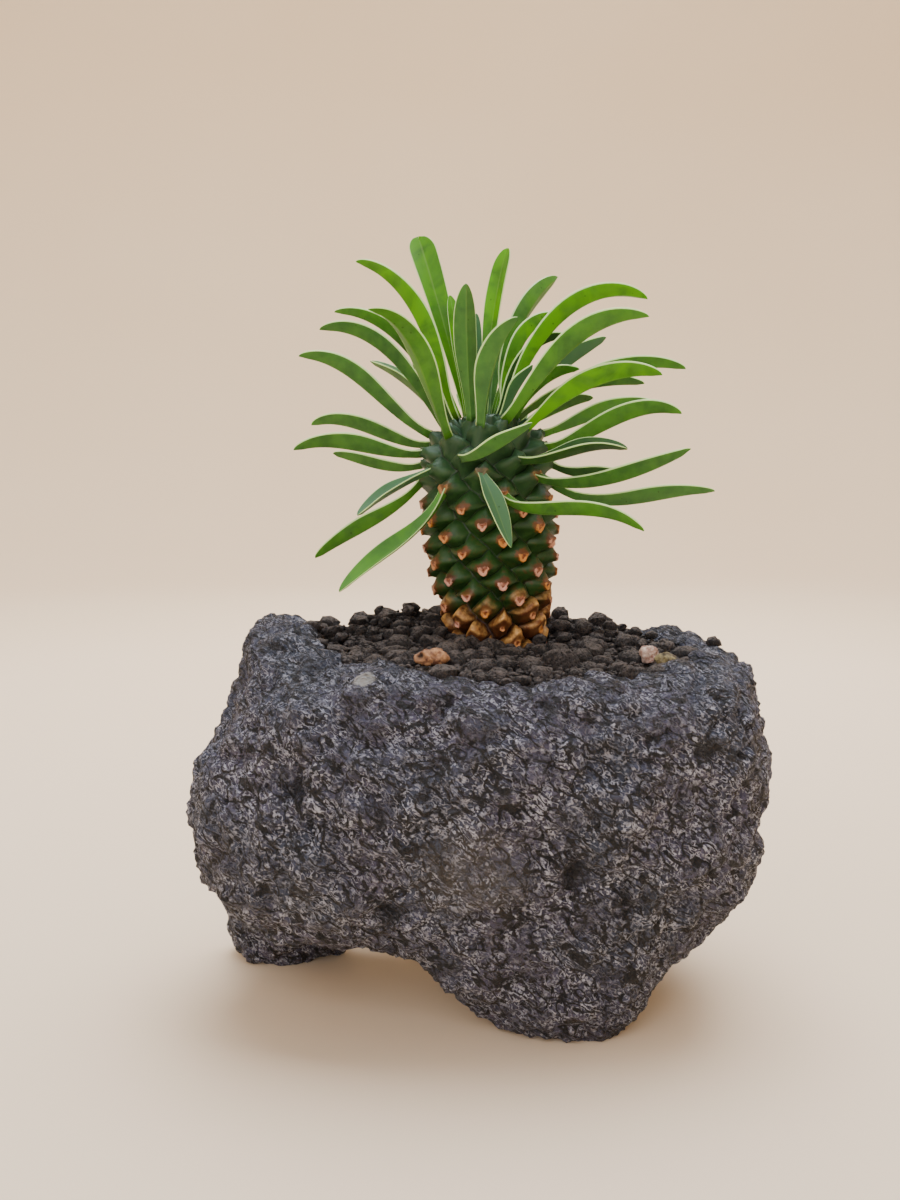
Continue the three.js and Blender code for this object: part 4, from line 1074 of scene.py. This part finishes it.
flesh = add_node(cuticle, "ShaderNodeMix", {0: patch, 6: linear("#2c521a"), 7: linear("#467425")},
                 data_type="RGBA").outputs[2]
# Painted glow: lighter yellow-green patches of light shining through, as strong as each leaf's glow
# share.
lit = add_node(cuticle, "ShaderNodeTexNoise", {"Vector": at, "Scale": 85, "Detail": 3.0,
                                               "Distortion": 0.8}).outputs["Fac"]
lit = add_node(cuticle, "ShaderNodeMapRange", {0: lit, 1: 0.38, 2: 0.58, 3: 0.35}).outputs[0]
lit = add_node(cuticle, "ShaderNodeMath", {0: lit, 1: painted_glow}, operation="MULTIPLY").outputs[0]
flesh = add_node(cuticle, "ShaderNodeMix", {0: lit, 6: flesh, 7: linear("#539400")},
                 data_type="RGBA").outputs[2]
flesh = add_node(cuticle, "ShaderNodeMix", {0: bloom, 6: flesh, 7: linear("#4f7854")},
                 data_type="RGBA").outputs[2]
# Painted shade on the leaves that lie in shade.
flesh = add_node(cuticle, "ShaderNodeMix", {0: shade, 6: flesh, 7: linear("#183414")},
                 data_type="RGBA").outputs[2]
fleck = add_node(cuticle, "ShaderNodeTexVoronoi", {"Vector": at, "Scale": 210}).outputs["Distance"]
fleck = add_node(cuticle, "ShaderNodeMapRange", {0: fleck, 1: 0.10, 2: 0.05, 4: 0.5}).outputs[0]
flesh = add_node(cuticle, "ShaderNodeMix", {0: fleck, 6: flesh, 7: linear("#22330f")},
                 data_type="RGBA").outputs[2]
off_middle = add_node(cuticle, "ShaderNodeMath", {0: strip.outputs[0], 1: 0.5},
                      operation="SUBTRACT").outputs[0]
off_middle = add_node(cuticle, "ShaderNodeMath", {0: off_middle}, operation="ABSOLUTE").outputs[0]
rib = add_node(cuticle, "ShaderNodeMapRange", {0: off_middle, 1: 0.05, 2: 0.015,
                                               4: 0.25}).outputs[0]
flesh = add_node(cuticle, "ShaderNodeMix", {0: rib, 6: flesh, 7: linear("#7c9a4c")},
                 data_type="RGBA").outputs[2]
margin = add_node(cuticle, "ShaderNodeMapRange", {0: off_middle, 1: 0.472, 2: 0.486}).outputs[0]
flesh = add_node(cuticle, "ShaderNodeMix", {0: margin, 6: flesh, 7: linear("#bddb98")},
                 data_type="RGBA").outputs[2]
veins = add_node(cuticle, "ShaderNodeCombineXYZ", {0: strip.outputs[0], 1: strip.outputs[1]})
veins = add_node(cuticle, "ShaderNodeMapping", {"Vector": veins.outputs[0], "Scale": (30, 3, 1)})
veins = add_node(cuticle, "ShaderNodeTexNoise", {"Vector": veins.outputs[0], "Scale": 1.0,
                                                 "Detail": 2.0})
leaf_bump = add_node(cuticle, "ShaderNodeBump", {"Strength": 0.18, "Distance": 0.0004,
                                                 "Height": veins.outputs["Fac"]})
cuticle_skin = add_node(cuticle, "ShaderNodeBsdfPrincipled",
                        {"Base Color": flesh, "Roughness": 0.5, "IOR": 1.35,
                         "Specular IOR Level": 0.3, "Normal": leaf_bump.outputs[0],
                         "Subsurface Weight": 0.25,
                         "Subsurface Radius": (0.5, 1.0, 0.15), "Subsurface Scale": 0.0015})
cuticle.node_tree.links.new(cuticle_skin.outputs[0], cuticle_out.inputs[0])

for number, leaf in enumerate(LEAVES, 1):
    piece = copy_of(blade, f"euphorbia_leaf_{number:02d}")
    bend_leaf(piece, leaf)
    piece.data.transform(TRUNK_PLACE)
    for name, value in zip(("painted_glow", "bloom", "shade"), LEAF_COLOURS[leaf[8]]):
        paint(piece, name, value)
    piece.data.materials.clear()
    piece.data.materials.append(cuticle)
    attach(piece, "root")
    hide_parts(f"leaf_{number:02d}")
bpy.data.objects.remove(blade)
